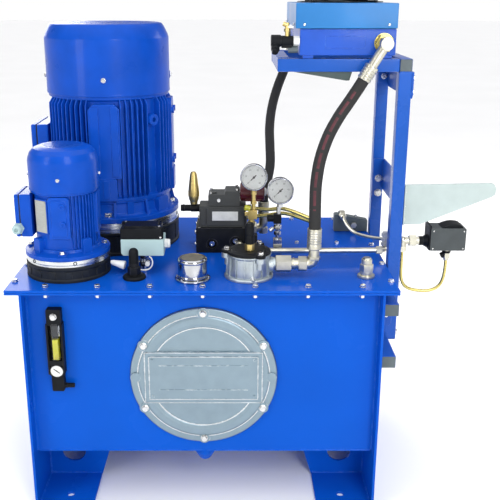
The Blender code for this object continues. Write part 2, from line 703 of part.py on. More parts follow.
def cooler_frame():
    half = TUBE / 2
    for name, height in zip(("frame_rail_upper", "frame_rail_lower"), RAIL_HEIGHTS):
        low = (SIDE_OUTSIDE + GAP, 0.020, over_lid(height) - half)
        high = (RAIL_OUTSIDE, LID_DEPTH - 0.020, over_lid(height) + half)
        piece(name, [box(low, high)], blue_paint())
    post_low = over_lid(RAIL_HEIGHTS[1]) - half
    post_high = over_lid(FRAME_TOP - TUBE)
    for name, front in zip(("frame_post_front", "frame_post_rear"), POST_FRONTS):
        low = (POST_INSIDE, front, post_low)
        high = (POST_OUTSIDE, front + TUBE, post_high)
        piece(name, [box(low, high)], blue_paint())

    front, back = POST_FRONTS[0], POST_FRONTS[1] + TUBE
    low, high = post_high + GAP, over_lid(FRAME_TOP)
    outer = box((FRAME_LEFT, front, low), (POST_OUTSIDE, back, high))
    inner_low = (FRAME_LEFT + TUBE, front + TUBE, low - 0.01)
    inner_high = (POST_INSIDE, back - TUBE, high + 0.01)
    piece("frame_top", [outer], blue_paint(), cuts=[box(inner_low, inner_high)])

    root = POST_OUTSIDE + GAP
    outline = [(root, 0.100), (0.530, 0.101), (0.700, 0.170), (0.707, 0.176)]
    outline += [(ARM_TIP, 0.190), (0.703, 0.201), (0.697, 0.204), (root, 0.200)]
    outline = [(x, over_lid(z)) for x, z in outline]
    pale = material("galvanised_sheet", (0.55, 0.62, 0.58), 0.4, 0.3)
    piece("sheet_arm", [sheet(outline, 0.197, 0.203)], pale)


def cooler():
    centre_x, centre_y = COOLER_CENTRE
    front, back = POST_FRONTS[0], POST_FRONTS[1] + TUBE
    bottom, top = over_lid(COOLER_BOTTOM), over_lid(COOLER_TOP)
    solids = [box((COOLER_LEFT, front, bottom), (COOLER_RIGHT, front + 0.045, top))]
    solids.append(box((COOLER_LEFT, back - 0.045, bottom), (COOLER_RIGHT, back, top)))
    core_low = (COOLER_LEFT + 0.006, front + 0.040, bottom + 0.005)
    core_high = (COOLER_RIGHT - 0.006, back - 0.040, top - 0.004)
    solids.append(box(core_low, core_high))
    for pad_x in (COOLER_LEFT + 0.020, COOLER_RIGHT - 0.020):
        for pad_y in (front + TUBE / 2, back - TUBE / 2):
            low = (pad_x - 0.012, pad_y - 0.012, over_lid(FRAME_TOP) + GAP)
            solids.append(box(low, (pad_x + 0.012, pad_y + 0.012, bottom + 0.002)))
    port = (0.414, 0.152, over_lid(0.5345))
    waist, end = [(x, y, over_lid(z)) for x, y, z in FRONT_FERRULE]
    solids.append(rod(0.021, (port[0], front + 0.004, port[2]), (port[0], 0.166, port[2]), 6))
    solids.append(rod(0.015, (port[0], 0.170, port[2]), (port[0], 0.1375, port[2]), 14))
    solids.append(rod(0.012, port, waist, 12))
    solids.append(rod(0.0165, waist, end, 16))
    port = (0.236, 0.532, over_lid(0.535))
    waist, end = [(x, y, over_lid(z)) for x, y, z in REAR_FERRULE]
    solids.append(rod(0.018, (port[0], back - 0.004, port[2]), (port[0], 0.518, port[2]), 6))
    solids.append(rod(0.0135, (port[0], 0.515, port[2]), (port[0], 0.545, port[2]), 14))
    solids.append(rod(0.011, port, waist, 12))
    solids.append(rod(0.0150, waist, end, 16))
    piece("cooler_core", solids, blue_paint())

    low, high = top + GAP, over_lid(SHROUD_TOP)
    wall = 0.002
    shell = box((0.2113, front - 0.004, low), (0.4435, back + 0.004, high))
    room_low = (0.2113 + wall, front - 0.004 + wall, low - 0.01)
    room = box(room_low, (0.4435 - wall, back + 0.004 - wall, high - wall))
    mouth = turned(disc(0.098, -0.02, 0.02), 24, (centre_x, centre_y, high))
    light_blue = material("light_blue_paint", (0.03, 0.20, 0.72), 0.35)
    piece("cooler_shroud", [shell], light_blue, cuts=[room, mouth])

    fan = fan_wheel(0.006 + GAP, 0.026, 0.090, 0.575, 0.605, 6)
    piece("cooler_fan", fan, black_plastic(), (centre_x, centre_y, LID_TOP))

    guard_low, guard_high = SHROUD_TOP + GAP, SHROUD_TOP + 0.006
    solids = [turned(ring(0.098, 0.106, guard_low, guard_high), 24)]
    solids.append(box((-0.102, -0.006, guard_low), (0.102, 0.006, guard_high)))
    solids.append(box((-0.006, -0.102, guard_low + 0.0002), (0.006, 0.102, guard_high - 0.0002)))
    motor = [(0, 0.572), (0.006, 0.572), (0.006, 0.618), (0.044, 0.618), (0.048, 0.625), (0.048, 0.700)]
    motor += [(0.040, 0.712), (0, 0.712)]
    solids.append(turned(motor, 16))
    solids.append(box((0.010, -0.090, 0.626), (0.076, -0.036, 0.672)))
    piece("cooler_fan_motor", solids, dark_steel(), (centre_x, centre_y, LID_TOP))


# Hoses


def hoses():
    front = [(0.2606, 0.102, 0.1181), (0.2606, 0.102, 0.135), (0.2601, 0.104, 0.180), (0.2612, 0.107, 0.225)]
    front += [(0.2690, 0.112, 0.278), (0.2860, 0.120, 0.329), (0.3090, 0.130, 0.371), (0.3350, 0.142, 0.4075)]
    front += reversed(straight_from(FRONT_FERRULE, 0.016))
    rear = straight_from(REAR_FERRULE, 0.016)
    rear += [(0.1900, 0.523, 0.396), (0.1750, 0.500, 0.345), (0.1680, 0.466, 0.296), (0.1680, 0.430, 0.252)]
    rear += [(0.1680, 0.398, 0.210), (0.1600, 0.376, 0.170), (0.1500, 0.366, 0.132), (0.1500, 0.366, 0.1163)]
    for name, route, radius in (("hose_front", front, 0.014), ("hose_rear", rear, 0.0125)):
        tube(name, [(x, y, over_lid(z)) for x, y, z in route], radius, black_rubber(), sides=3)


def main():
    clear_scene()
    unit = bpy.data.objects.new("unit", None)
    unit.location = (-SHIFT_X, -SHIFT_Y, 0)
    bpy.context.scene.collection.objects.link(unit)
    tank_plates()
    tank_side("tank_side_left", -1)
    tank_side("tank_side_right", 1)
    tank_top()
    inspection_cover()
    level_gauge()
    large_motor()
    small_motor()
    pump_mounts()
    breather()
    return_filter()
    level_switch()
    temperature_sensor()
    valve_stack()
    gauges()
    pipes()
    pressure_switch()
    cooler_frame()
    cooler()
    hoses()


main()
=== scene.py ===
"""Looks of a hydraulic power unit on its reservoir: what is seen of it, its materials, light and camera.

Metres, +Z up. Places are measured on the lid: X to the right from the middle of its front
edge, Y to the back, and Z over its top. ORIGIN is that point in the CAD's frame.
"""

import math
import random

import bmesh
import bpy
from mathutils import Matrix, Vector


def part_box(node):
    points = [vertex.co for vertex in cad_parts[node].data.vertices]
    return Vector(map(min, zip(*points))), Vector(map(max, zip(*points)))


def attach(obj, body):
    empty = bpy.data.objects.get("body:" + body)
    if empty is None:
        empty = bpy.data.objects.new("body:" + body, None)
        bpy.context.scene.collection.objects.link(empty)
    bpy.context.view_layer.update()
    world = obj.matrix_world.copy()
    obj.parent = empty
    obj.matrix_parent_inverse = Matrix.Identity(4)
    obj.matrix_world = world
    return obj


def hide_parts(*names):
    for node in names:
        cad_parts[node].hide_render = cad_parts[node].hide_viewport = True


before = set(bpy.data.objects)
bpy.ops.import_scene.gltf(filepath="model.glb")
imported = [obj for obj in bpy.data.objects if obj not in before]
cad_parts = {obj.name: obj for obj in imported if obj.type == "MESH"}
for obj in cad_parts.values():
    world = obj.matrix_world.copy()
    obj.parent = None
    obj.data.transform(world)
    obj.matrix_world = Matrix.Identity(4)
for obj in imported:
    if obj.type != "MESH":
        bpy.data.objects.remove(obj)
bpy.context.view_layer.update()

LID_LOW, LID_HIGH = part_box("tank_lid")
ORIGIN = Vector(((LID_LOW.x + LID_HIGH.x) / 2, LID_LOW.y, LID_HIGH.z))
LID_DEPTH = LID_HIGH.y - LID_LOW.y
FLOOR = -LID_HIGH.z
GAP = 0.0003

UP, DOWN = (0, 0, 1), (0, 0, -1)
FRONT, BACK = (0, -1, 0), (0, 1, 0)
LEFT, RIGHT = (-1, 0, 0), (1, 0, 0)


def span(node):
    """A CAD node's lowest and highest corner, on the lid."""
    low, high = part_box(node)
    return low - ORIGIN, high - ORIGIN


def centre(node):
    low, high = span(node)
    return (low + high) / 2


# Solids: each function returns a closed bmesh


def aimed(bm, at, aim):
    """Turns a solid made along +Z to another direction, then moves it."""
    aim = Vector(aim).normalized()
    upside_down = aim.z < -0.9999
    tipped = Vector(UP).rotation_difference(aim).to_matrix()
    turn = Matrix.Rotation(math.pi, 3, "X") if upside_down else tipped
    bmesh.ops.rotate(bm, verts=bm.verts, cent=(0, 0, 0), matrix=turn)
    bmesh.ops.translate(bm, verts=bm.verts, vec=at)
    bmesh.ops.recalc_face_normals(bm, faces=bm.faces)
    return bm


def shift(solid, by):
    bmesh.ops.translate(solid, verts=solid.verts, vec=by)
    return solid


def box(low, high, edge=0.0008):
    """A box with rounded edges."""
    bm = bmesh.new()
    low, high = Vector(low), Vector(high)
    place = Matrix.Translation((low + high) / 2) @ Matrix.Diagonal((*(high - low), 1.0))
    bmesh.ops.create_cube(bm, size=1.0, matrix=place)
    if edge:
        bmesh.ops.bevel(bm, geom=bm.edges[:], offset=edge, segments=2, profile=0.5, affect="EDGES")
    return bm


def softened(profile, edge, steps=3):
    """A profile whose corners are short curves."""
    made = []
    for before, corner, after in zip(profile[-1:] + profile[:-1], profile, profile[1:] + profile[:1]):
        p, c, n = Vector(before), Vector(corner), Vector(after)
        into, out = p - c, n - c
        straight = into.length * out.length == 0 or into.angle(out) > math.radians(165)
        if corner[0] == 0 or straight:
            made.append(corner)
            continue
        reach = min(edge, 0.45 * into.length, 0.45 * out.length)
        first, last = c + into.normalized() * reach, c + out.normalized() * reach
        for step in range(steps):
            t = step / (steps - 1)
            point = (1 - t) ** 2 * first + 2 * t * (1 - t) * c + t**2 * last
            made.append((point.x, point.y))
    return made


def turned(profile, at=(0, 0, 0), aim=UP, segments=48, edge=0.0008, turn=0.0):
    """A turned solid: profile is a loop of (radius, height); radius 0 is on the axis."""
    bm = bmesh.new()
    rings = []
    for radius, height in softened(profile, edge) if edge else profile:
        if radius == 0:
            rings.append([bm.verts.new((0, 0, height))])
            continue
        ring = []
        for step in range(segments):
            angle = turn + 2 * math.pi * step / segments
            ring.append(bm.verts.new((radius * math.cos(angle), radius * math.sin(angle), height)))
        rings.append(ring)
    for ring, following in zip(rings, rings[1:] + rings[:1]):
        for step in range(segments):
            after = (step + 1) % segments
            corners = [ring[step % len(ring)], ring[after % len(ring)]]
            corners += [following[after % len(following)], following[step % len(following)]]
            corners = list(dict.fromkeys(corners))
            if len(corners) > 2:
                bm.faces.new(corners)
    return aimed(bm, at, aim)


def disc(radius, low, high):
    return [(0, low), (radius, low), (radius, high), (0, high)]


def ring(inner, outer, low, high):
    return [(inner, low), (outer, low), (outer, high), (inner, high)]


def rod(radius, start, end, segments=32, edge=0.0008):
    """A round bar between two points; 6 segments make it a hexagon."""
    along = Vector(end) - Vector(start)
    return turned(disc(radius, 0, along.length), start, along, segments, edge)


def stack(at, aim, *bars):
    """Round bars on one axis; each is (radius, start, end), then its segments and edge if they differ."""
    at, aim = Vector(at), Vector(aim)
    return [rod(radius, at + start * aim, at + end * aim, *rest) for radius, start, end, *rest in bars]


def prism(outline, thickness, at=(0, 0, 0), aim=UP, edge=0.0008, segments=2):
    """An outline of (x, y) points made thick, with rounded rims."""
    bm = bmesh.new()
    face = bm.faces.new([bm.verts.new((x, y, 0)) for x, y in outline])
    grown = bmesh.ops.extrude_face_region(bm, geom=[face])
    moved = [item for item in grown["geom"] if isinstance(item, bmesh.types.BMVert)]
    bmesh.ops.translate(bm, verts=moved, vec=(0, 0, thickness))
    bmesh.ops.recalc_face_normals(bm, faces=bm.faces)
    if edge:
        sharp = [e for e in bm.edges if e.calc_face_angle(0) > math.radians(25)]
        bmesh.ops.bevel(bm, geom=sharp, offset=edge, segments=segments, profile=0.5, affect="EDGES")
    return aimed(bm, at, aim)


def wall(outline, low, high, edge=0.0008):
    """A sheet with an outline of (x, z) points, from y = low to y = high."""
    return prism(outline, high - low, (0, high, 0), FRONT, edge)


def rounded_box_outline(low, high, radius, steps=6):
    """A rectangle's outline with round corners."""
    points = []
    corners = [(high[0], high[1], 0), (low[0], high[1], 90), (low[0], low[1], 180), (high[0], low[1], 270)]
    for x, y, start in corners:
        x -= math.copysign(radius, x - (low[0] + high[0]) / 2)
        y -= math.copysign(radius, y - (low[1] + high[1]) / 2)
        for step in range(steps + 1):
            angle = math.radians(start + 90 * step / steps)
            points.append((x + radius * math.cos(angle), y + radius * math.sin(angle)))
    return points


def smooth_route(points, spacing):
    """Evenly spaced points on a smooth curve; the first and last stretches stay straight."""
    points = [Vector(point) for point in points]
    fine = []
    for a, b, c, d in zip(points, points[1:], points[2:], points[3:]):
        for step in range(20):
            t = step / 20
            bend = 2 * a - 5 * b + 4 * c - d
            twist = 3 * b - a - 3 * c + d
            fine.append((2 * b + (c - a) * t + bend * t**2 + twist * t**3) / 2)
    fine.append(points[-2])
    total = sum((b - a).length for a, b in zip(fine, fine[1:]))
    count = max(2, round(total / spacing))
    route = [points[0], fine[0]]
    walked, wanted = 0.0, total / count
    for a, b in zip(fine, fine[1:]):
        length = (b - a).length
        while walked + length >= wanted * (len(route) - 1) and len(route) <= count:
            route.append(a.lerp(b, (wanted * (len(route) - 1) - walked) / length))
        walked += length
    return [*route, points[-2], points[-1]]


def pipe(route, radius, segments=16, radii=None):
    """A round tube along close points; radii, if given, is a radius for each point."""
    route = [Vector(point) for point in route]
    bm = bmesh.new()
    rings = []
    side = Vector((0.31, 0.17, 0.93))
    for index, point in enumerate(route):
        ahead = route[min(index + 1, len(route) - 1)] - route[max(index - 1, 0)]
        ahead.normalize()
        side = (side - ahead * side.dot(ahead)).normalized()
        up = ahead.cross(side)
        size = radii[index] if radii else radius
        ring = []
        for step in range(segments):
            angle = 2 * math.pi * step / segments
            ring.append(bm.verts.new(point + size * (side * math.cos(angle) + up * math.sin(angle))))
        rings.append(ring)
    for first, second in zip(rings, rings[1:]):
        for step in range(segments):
            after = (step + 1) % segments
            bm.faces.new((first[step], first[after], second[after], second[step]))
    bm.faces.new(rings[0])
    bm.faces.new(rings[-1])
    bmesh.ops.recalc_face_normals(bm, faces=bm.faces)
    return bm


def bent_pipe(points, radius, segments=16):
    """A pipe along a smooth curve through the points."""
    return pipe(smooth_route(points, radius * 0.7), radius, segments)


def bead(start, end, radius=0.0026):
    """A weld bead: a rod with the ripples that the torch leaves."""
    start, end = Vector(start), Vector(end)
    count = max(4, int((end - start).length / 0.0022))
    draw = random.Random(int((start - end).length * 1e5))
    route = [start.lerp(end, step / count) for step in range(count + 1)]
    ripples = [0.16 * math.sin(2.1 * step) + draw.uniform(-0.1, 0.1) for step in range(count + 1)]
    radii = [radius * (1 + ripple) for ripple in ripples]
    return pipe(route, radius, 8, radii)


def carved(solid, *cutters):
    """A solid less its cutters."""
    base = loose_object("base", solid)
    tools = [loose_object("tool", cutter) for cutter in cutters]
    for tool in tools:
        change = base.modifiers.new("cut", "BOOLEAN")
        change.operation = "DIFFERENCE"
        change.solver = "EXACT"
        change.object = tool
    mesh = bpy.data.meshes.new_from_object(base.evaluated_get(bpy.context.evaluated_depsgraph_get()))
    for made in (base, *tools):
        bpy.data.objects.remove(made)
    bm = bmesh.new()
    bm.from_mesh(mesh)
    bpy.data.meshes.remove(mesh)
    return bm


def loose_object(name, bm):
    mesh = bpy.data.meshes.new(name)
    bm.to_mesh(mesh)
    bm.free()
    made = bpy.data.objects.new(name, mesh)
    bpy.context.scene.collection.objects.link(made)
    return made


def bolt(at, size=0.008, aim=UP, washer=True):
    """A hexagon head on its washer; size is the thread's diameter."""
    solids = []
    base = 0.0
    if washer:
        base = 0.18 * size
        solids.append(turned(ring(0.3 * size, 1.02 * size, 0, base), at, aim, 28, 0.0003))
    top = base + 0.65 * size
    head = [(0, base), (0.93 * size, base), (0.93 * size, top - 0.12 * size), (0.8 * size, top), (0, top)]
    turn = math.radians((at[0] * 7919 + at[1] * 104729) % 60)
    solids.append(turned(head, at, aim, 6, 0, turn))
    solids.append(turned(disc(0.74 * size, top - 0.1 * size, top + 0.06 * size), at, aim, 24, 0.0002))
    return solids


def socket_screw(at, size=0.006, aim=UP):
    """A cap screw with its hexagon socket."""
    head = [(0, 0.5 * size), (0.42 * size, 0.55 * size), (0.42 * size, size), (0.8 * size, size)]
    head += [(0.8 * size, 0), (0, 0)]
    return [turned(head, at, aim, 24, 0.0004)]


def on_circle(middle, radius, degrees, height):
    """A point on a circle round an upright axis; 0 degrees faces the front, 90 the right."""
    angle = math.radians(degrees)
    return (middle[0] + radius * math.sin(angle), middle[1] - radius * math.cos(angle), height)


def outwards(degrees):
    angle = math.radians(degrees)
    return (math.sin(angle), -math.cos(angle), 0)


def bolt_circle(middle, radius, first, count, height, size, aim=UP):
    """Upright bolts spread evenly round an axis, the first at an angle in degrees."""
    heads = []
    for step in range(count):
        heads += bolt(on_circle(middle, radius, first + 360 * step / count, height), size, aim)
    return heads


def on_dial(solid, degrees, at):
    """A flat solid made round the Y axis, turned on a dial that faces the front."""
    turn = Matrix.Rotation(math.radians(degrees), 3, "Y")
    bmesh.ops.rotate(solid, verts=solid.verts, cent=(0, 0, 0), matrix=turn)
    return shift(solid, at)


def spun(solid, middle, degrees):
    """A solid made at the front of an upright axis, turned round it."""
    turn = Matrix.Rotation(math.radians(degrees), 3, "Z")
    bmesh.ops.rotate(solid, verts=solid.verts, cent=(middle[0], middle[1], 0), matrix=turn)
    return solid


def add_solid(whole, solid):
    """Adds a solid to a larger bmesh and frees it."""
    loose = bpy.data.meshes.new("loose")
    solid.to_mesh(loose)
    solid.free()
    whole.from_mesh(loose)
    bpy.data.meshes.remove(loose)


def piece(name, parts, body="unit", replaces=()):
    """One visible piece: parts is a list of (finish, solids)."""
    whole = bmesh.new()
    finishes = []
    for finish, solids in parts:
        if finish not in finishes:
            finishes.append(finish)
        for solid in solids:
            for face in solid.faces:
                face.material_index = finishes.index(finish)
            add_solid(whole, solid)
    made = loose_object(name, whole)
    for finish in finishes:
        made.data.materials.append(finish)
    made.data.shade_smooth()
    made.data.set_sharp_from_angle(angle=math.radians(38))
    even = made.modifiers.new("even_light", "WEIGHTED_NORMAL")
    even.keep_sharp = True
    made.location = ORIGIN
    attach(made, body)
    if replaces:
        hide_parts(*replaces)
    return made


# Finishes


def node_input(nodes, links, kind, **sockets):
    """A shader node with its sockets set to values or linked to other nodes' outputs."""
    made = nodes.new(kind)
    for name, value in sockets.items():
        socket = made.inputs[int(name[1:])] if name[0] == "i" and name[1:].isdigit() else made.inputs[name]
        if isinstance(value, bpy.types.NodeSocket):
            links.new(value, socket)
        else:
            socket.default_value = value
    return made


def finish(name, colour, roughness, metallic=0.0, tint=0.1, blotch=14.0, spread=0.05, grain=500.0,
           depth=0.00002, stretch=(1, 1, 1), wear_and_highlight_colour=None, wear_and_highlight_share=0.0, coat=0.0, specular=0.5):
    """A painted, cast, plated or moulded surface.

    Its colour and gloss drift over blotches, its grain is a fine relief of the given depth,
    and its rounded edges turn to another colour: partly abrasion and partly painted highlight, the lighter
    edge colours standing for light caught along the edges.
    """
    found = bpy.data.materials.get(name)
    if found:
        return found
    made = bpy.data.materials.new(name)
    made.use_nodes = True
    nodes, links = made.node_tree.nodes, made.node_tree.links
    shader = nodes["Principled BSDF"]
    shader.inputs["Metallic"].default_value = metallic
    shader.inputs["Coat Weight"].default_value = coat
    shader.inputs["Specular IOR Level"].default_value = specular
    shader.inputs["Coat Roughness"].default_value = 0.08

    def add(kind, **sockets):
        return node_input(nodes, links, kind, **sockets)

    place = nodes.new("ShaderNodeTexCoord").outputs["Object"]
    along = add("ShaderNodeMapping", Vector=place, Scale=stretch).outputs["Vector"]
    patches = add("ShaderNodeTexNoise", Vector=along, Scale=blotch, Detail=5.0).outputs["Fac"]
    specks = add("ShaderNodeTexNoise", Vector=along, Scale=grain, Detail=3.0).outputs["Fac"]
    dark = (*[channel * (1 - tint) for channel in colour], 1)
    light = (*[min(1, channel * (1 + tint)) for channel in colour], 1)
    drift = add("ShaderNodeMapRange", Value=patches, i1=0.35, i2=0.65).outputs["Result"]
    mixed = nodes.new("ShaderNodeMix")
    mixed.data_type = "RGBA"
    links.new(drift, mixed.inputs["Factor"])
    for socket, value in zip([s for s in mixed.inputs if s.type == "RGBA"], (dark, light)):
        socket.default_value = value
    hue = [s for s in mixed.outputs if s.type == "RGBA"][0]
    gloss = add("ShaderNodeMapRange", Value=patches, i1=0.3, i2=0.7, i3=max(0.02, roughness - spread),
                i4=roughness + spread).outputs["Result"]
    # Edge colour, partly abrasion and partly painted highlight: a lighter colour laid on the rounded edges
    # where light would catch them.
    if wear_and_highlight_colour:
        rounded = nodes.new("ShaderNodeBevel")
        rounded.samples = 4
        rounded.inputs["Radius"].default_value = 0.0016
        apart = nodes.new("ShaderNodeVectorMath")
        apart.operation = "DOT_PRODUCT"
        links.new(rounded.outputs["Normal"], apart.inputs[0])
        links.new(nodes.new("ShaderNodeNewGeometry").outputs["Normal"], apart.inputs[1])
        ridge = add("ShaderNodeMapRange", Value=apart.outputs["Value"], i1=0.995, i2=0.9).outputs["Result"]
        ragged = add("ShaderNodeTexNoise", Vector=place, Scale=70.0, Detail=6.0).outputs["Fac"]
        edge_patches = add("ShaderNodeMapRange", Value=ragged, i1=0.45, i2=0.62).outputs["Result"]
        wear_and_highlight_mask = nodes.new("ShaderNodeMath")
        wear_and_highlight_mask.operation = "MULTIPLY"
        links.new(ridge, wear_and_highlight_mask.inputs[0])
        links.new(edge_patches, wear_and_highlight_mask.inputs[1])
        share = nodes.new("ShaderNodeMath")
        share.operation = "MULTIPLY"
        links.new(wear_and_highlight_mask.outputs[0], share.inputs[0])
        share.inputs[1].default_value = wear_and_highlight_share
        over = nodes.new("ShaderNodeMix")
        over.data_type = "RGBA"
        links.new(share.outputs[0], over.inputs["Factor"])
        colours = [s for s in over.inputs if s.type == "RGBA"]
        links.new(hue, colours[0])
        colours[1].default_value = (*wear_and_highlight_colour, 1)
        hue = [s for s in over.outputs if s.type == "RGBA"][0]
    links.new(hue, shader.inputs["Base Color"])
    links.new(gloss, shader.inputs["Roughness"])
    relief = add("ShaderNodeBump", Height=specks, Strength=1.0, Distance=depth)
    links.new(relief.outputs["Normal"], shader.inputs["Normal"])
    return made


# The paints' lighter blue edge colours are painted highlight along the rounded edges, more than abrasion.
def tank_paint():
    return finish("tank_paint", (0.002, 0.083, 0.5), 0.24, tint=0.05, blotch=5, grain=170, depth=0.00005,
                  wear_and_highlight_colour=(0.1, 0.25, 0.8), wear_and_highlight_share=0.35, coat=0.05, specular=0.06)


def motor_paint():
    return finish("motor_paint", (0.003, 0.066, 0.44), 0.32, tint=0.07, blotch=20, grain=260, depth=0.00008,
                  wear_and_highlight_colour=(0.08, 0.22, 0.75), wear_and_highlight_share=0.5, coat=0.1, specular=0.1)


def frame_paint():
    return finish("frame_paint", (0.006, 0.085, 0.43), 0.28, tint=0.06, blotch=8, grain=220, depth=0.00005,
                  wear_and_highlight_colour=(0.14, 0.28, 0.78), wear_and_highlight_share=0.4, coat=0.15, specular=0.2)


def cooler_paint():
    return finish("cooler_paint", (0.012, 0.082, 0.48), 0.3, tint=0.07, blotch=16, grain=320, depth=0.0001,
                  wear_and_highlight_colour=(0.12, 0.3, 0.85), wear_and_highlight_share=0.4, coat=0.12, specular=0.2)


# A lighter, greener copy of the cooler's blue for the shroud: painted reflection of the bright sky and lamps
# on its sides.
def shroud_paint_sky_reflection():
    return finish("shroud_paint_sky_reflection", (0.018, 0.175, 0.47), 0.33, tint=0.06, blotch=9, grain=250, depth=0.00005,
                  wear_and_highlight_colour=(0.2, 0.42, 0.85), wear_and_highlight_share=0.4, coat=0.12, specular=0.2)


# The near-white edge colour, laid on strongly, is painted highlight: the light lines along the cover's rims
# and panel edges.
def cast_aluminium():
    return finish("cast_aluminium", (0.25, 0.33, 0.38), 0.42, 0.85, tint=0.05, blotch=30, spread=0.05,
                  grain=900, depth=0.00018, wear_and_highlight_colour=(0.8, 0.84, 0.85), wear_and_highlight_share=0.9)


# Its near-white edge colour is painted highlight along the casting's rims.
def bright_casting():
    return finish("bright_casting", (0.44, 0.49, 0.51), 0.38, 0.85, tint=0.12, blotch=40, spread=0.09,
                  grain=1000, depth=0.00014, wear_and_highlight_colour=(0.8, 0.84, 0.85), wear_and_highlight_share=0.6)


# Also the finish of the thin bright lines on the inspection cover, which are painted highlights.
def machined_aluminium_and_highlight():
    return finish("machined_aluminium_and_highlight", (0.66, 0.68, 0.68), 0.27, 1.0, tint=0.1, blotch=18, spread=0.09,
                  grain=60, depth=0.00006, stretch=(1, 1, 40))


def zinc():
    return finish("zinc_plate", (0.6, 0.58, 0.48), 0.34, 0.95, tint=0.08, blotch=60, spread=0.05,
                  grain=1200, depth=0.00003, wear_and_highlight_colour=(0.85, 0.83, 0.74), wear_and_highlight_share=0.6)


def yellow_zinc():
    return finish("yellow_zinc", (0.62, 0.52, 0.17), 0.3, 0.95, tint=0.16, blotch=70, spread=0.09,
                  grain=1200, depth=0.00003)


def brass():
    return finish("brass", (0.72, 0.54, 0.2), 0.26, 1.0, tint=0.14, blotch=80, spread=0.08, grain=1000,
                  depth=0.00003, wear_and_highlight_colour=(0.9, 0.78, 0.45), wear_and_highlight_share=0.5)


def chrome():
    return finish("chrome", (0.47, 0.48, 0.5), 0.14, 1.0, tint=0.1, blotch=40, spread=0.04, grain=120,
                  depth=0.00005)


def steel():
    return finish("bright_steel", (0.7, 0.7, 0.69), 0.26, 1.0, tint=0.1, blotch=150, spread=0.08,
                  grain=1400, depth=0.00003)


def black_rubber():
    return finish("black_rubber", (0.009, 0.012, 0.017), 0.55, specular=0.25, tint=0.25, blotch=40,
                  spread=0.09, grain=700, depth=0.0001, wear_and_highlight_colour=(0.09, 0.09, 0.09), wear_and_highlight_share=0.4)


def black_plastic():
    return finish("black_plastic", (0.008, 0.009, 0.011), 0.42, specular=0.1, tint=0.2, blotch=60,
                  spread=0.08, grain=1600, depth=0.00007, wear_and_highlight_colour=(0.1, 0.1, 0.11), wear_and_highlight_share=0.35)


def phosphate():
    return finish("black_phosphate", (0.008, 0.009, 0.011), 0.42, 0.2, specular=0.25, tint=0.25, blotch=50,
                  spread=0.1, grain=1100, depth=0.00006, wear_and_highlight_colour=(0.16, 0.16, 0.17), wear_and_highlight_share=0.6)


def valve_grey():
    return finish("valve_grey", (0.066, 0.07, 0.068), 0.45, 0.1, tint=0.14, blotch=40, spread=0.08,
                  grain=900, depth=0.00012, wear_and_highlight_colour=(0.2, 0.2, 0.19), wear_and_highlight_share=0.5)


def switch_grey():
    return finish("switch_grey", (0.4, 0.56, 0.55), 0.42, tint=0.05, blotch=25, spread=0.06, grain=1500,
                  depth=0.00005)


def switch_body_black():
    return finish("switch_body_black", (0.06, 0.07, 0.073), 0.52, specular=0.3, tint=0.1, blotch=35,
                  spread=0.08, grain=1300, depth=0.00008, wear_and_highlight_colour=(0.2, 0.2, 0.2), wear_and_highlight_share=0.3)


def cap_grey():
    return finish("cap_grey", (0.08, 0.105, 0.115), 0.5, tint=0.1, blotch=30, grain=1200, depth=0.00006)


def white_nylon():
    return finish("white_nylon", (0.78, 0.79, 0.78), 0.4, tint=0.05, blotch=30, grain=900, depth=0.00005)


def label_plate():
    return finish("label_plate", (0.66, 0.67, 0.65), 0.4, 0.3, tint=0.08, blotch=60, grain=900, depth=0.00002)


def name_plate():
    return finish("name_plate", (0.42, 0.43, 0.4), 0.42, 0.6, tint=0.12, blotch=70, grain=80,
                  depth=0.00003, stretch=(1, 1, 25))


def maroon():
    return finish("solenoid_maroon", (0.06, 0.008, 0.014), 0.32, tint=0.15, blotch=40, grain=1200,
                  depth=0.00006)


def dial_white():
    return finish("dial_white", (0.76, 0.77, 0.76), 0.38, tint=0.03, blotch=50, grain=1400, depth=0.00001)


def print_black():
    return finish("print_black", (0.012, 0.012, 0.012), 0.5, tint=0.1, blotch=100, grain=1500, depth=0.00001)


def old_print():
    return finish("worn_print", (0.15, 0.14, 0.11), 0.42, 0.2, tint=0.2, blotch=90, grain=1200, depth=0.00003)


def hose_rubber():
    return finish("hose_rubber", (0.022, 0.02, 0.021), 0.5, tint=0.28, blotch=26, spread=0.1, grain=900,
                  depth=0.00014)


def hose_print():
    return finish("hose_print", (0.075, 0.01, 0.018), 0.55, tint=0.35, blotch=120, grain=900, depth=0.0001)


def galvanised():
    return finish("pale_sheet", (0.45, 0.53, 0.515), 0.38, 0.25, tint=0.05, blotch=22, spread=0.08, grain=500,
                  depth=0.00003, wear_and_highlight_colour=(0.16, 0.19, 0.19), wear_and_highlight_share=0.8)


def oil():
    return finish("oil_yellow", (0.98, 0.84, 0.012), 0.25, tint=0.12, blotch=60, grain=500, depth=0.00001,
                  coat=0.6)


def dark_fins():
    return finish("core_fins", (0.03, 0.035, 0.045), 0.5, 0.5, tint=0.2, blotch=50, grain=800, depth=0.0001)


# A dark grey-green for the stay under the cooler: painted shade, the shade that falls under the cooler.
def stay_painted_shade():
    return finish("stay_painted_shade", (0.05, 0.075, 0.075), 0.42, 0.3, tint=0.15, blotch=30, grain=600,
                  depth=0.00005)


def green_seal():
    return finish("knob_green", (0.42, 0.42, 0.03), 0.35, tint=0.1, blotch=60, grain=900, depth=0.00003)


def glass(name, tone, roughness=0.03):
    """Clear glass or acrylic with a few smudges."""
    found = bpy.data.materials.get(name)
    if found:
        return found
    made = finish(name, tone, roughness, tint=0.02, blotch=60, spread=0.02, grain=90, depth=0.00002)
    shader = made.node_tree.nodes["Principled BSDF"]
    shader.inputs["Transmission Weight"].default_value = 1.0
    shader.inputs["IOR"].default_value = 1.46
    return made


# Camera, light and floor


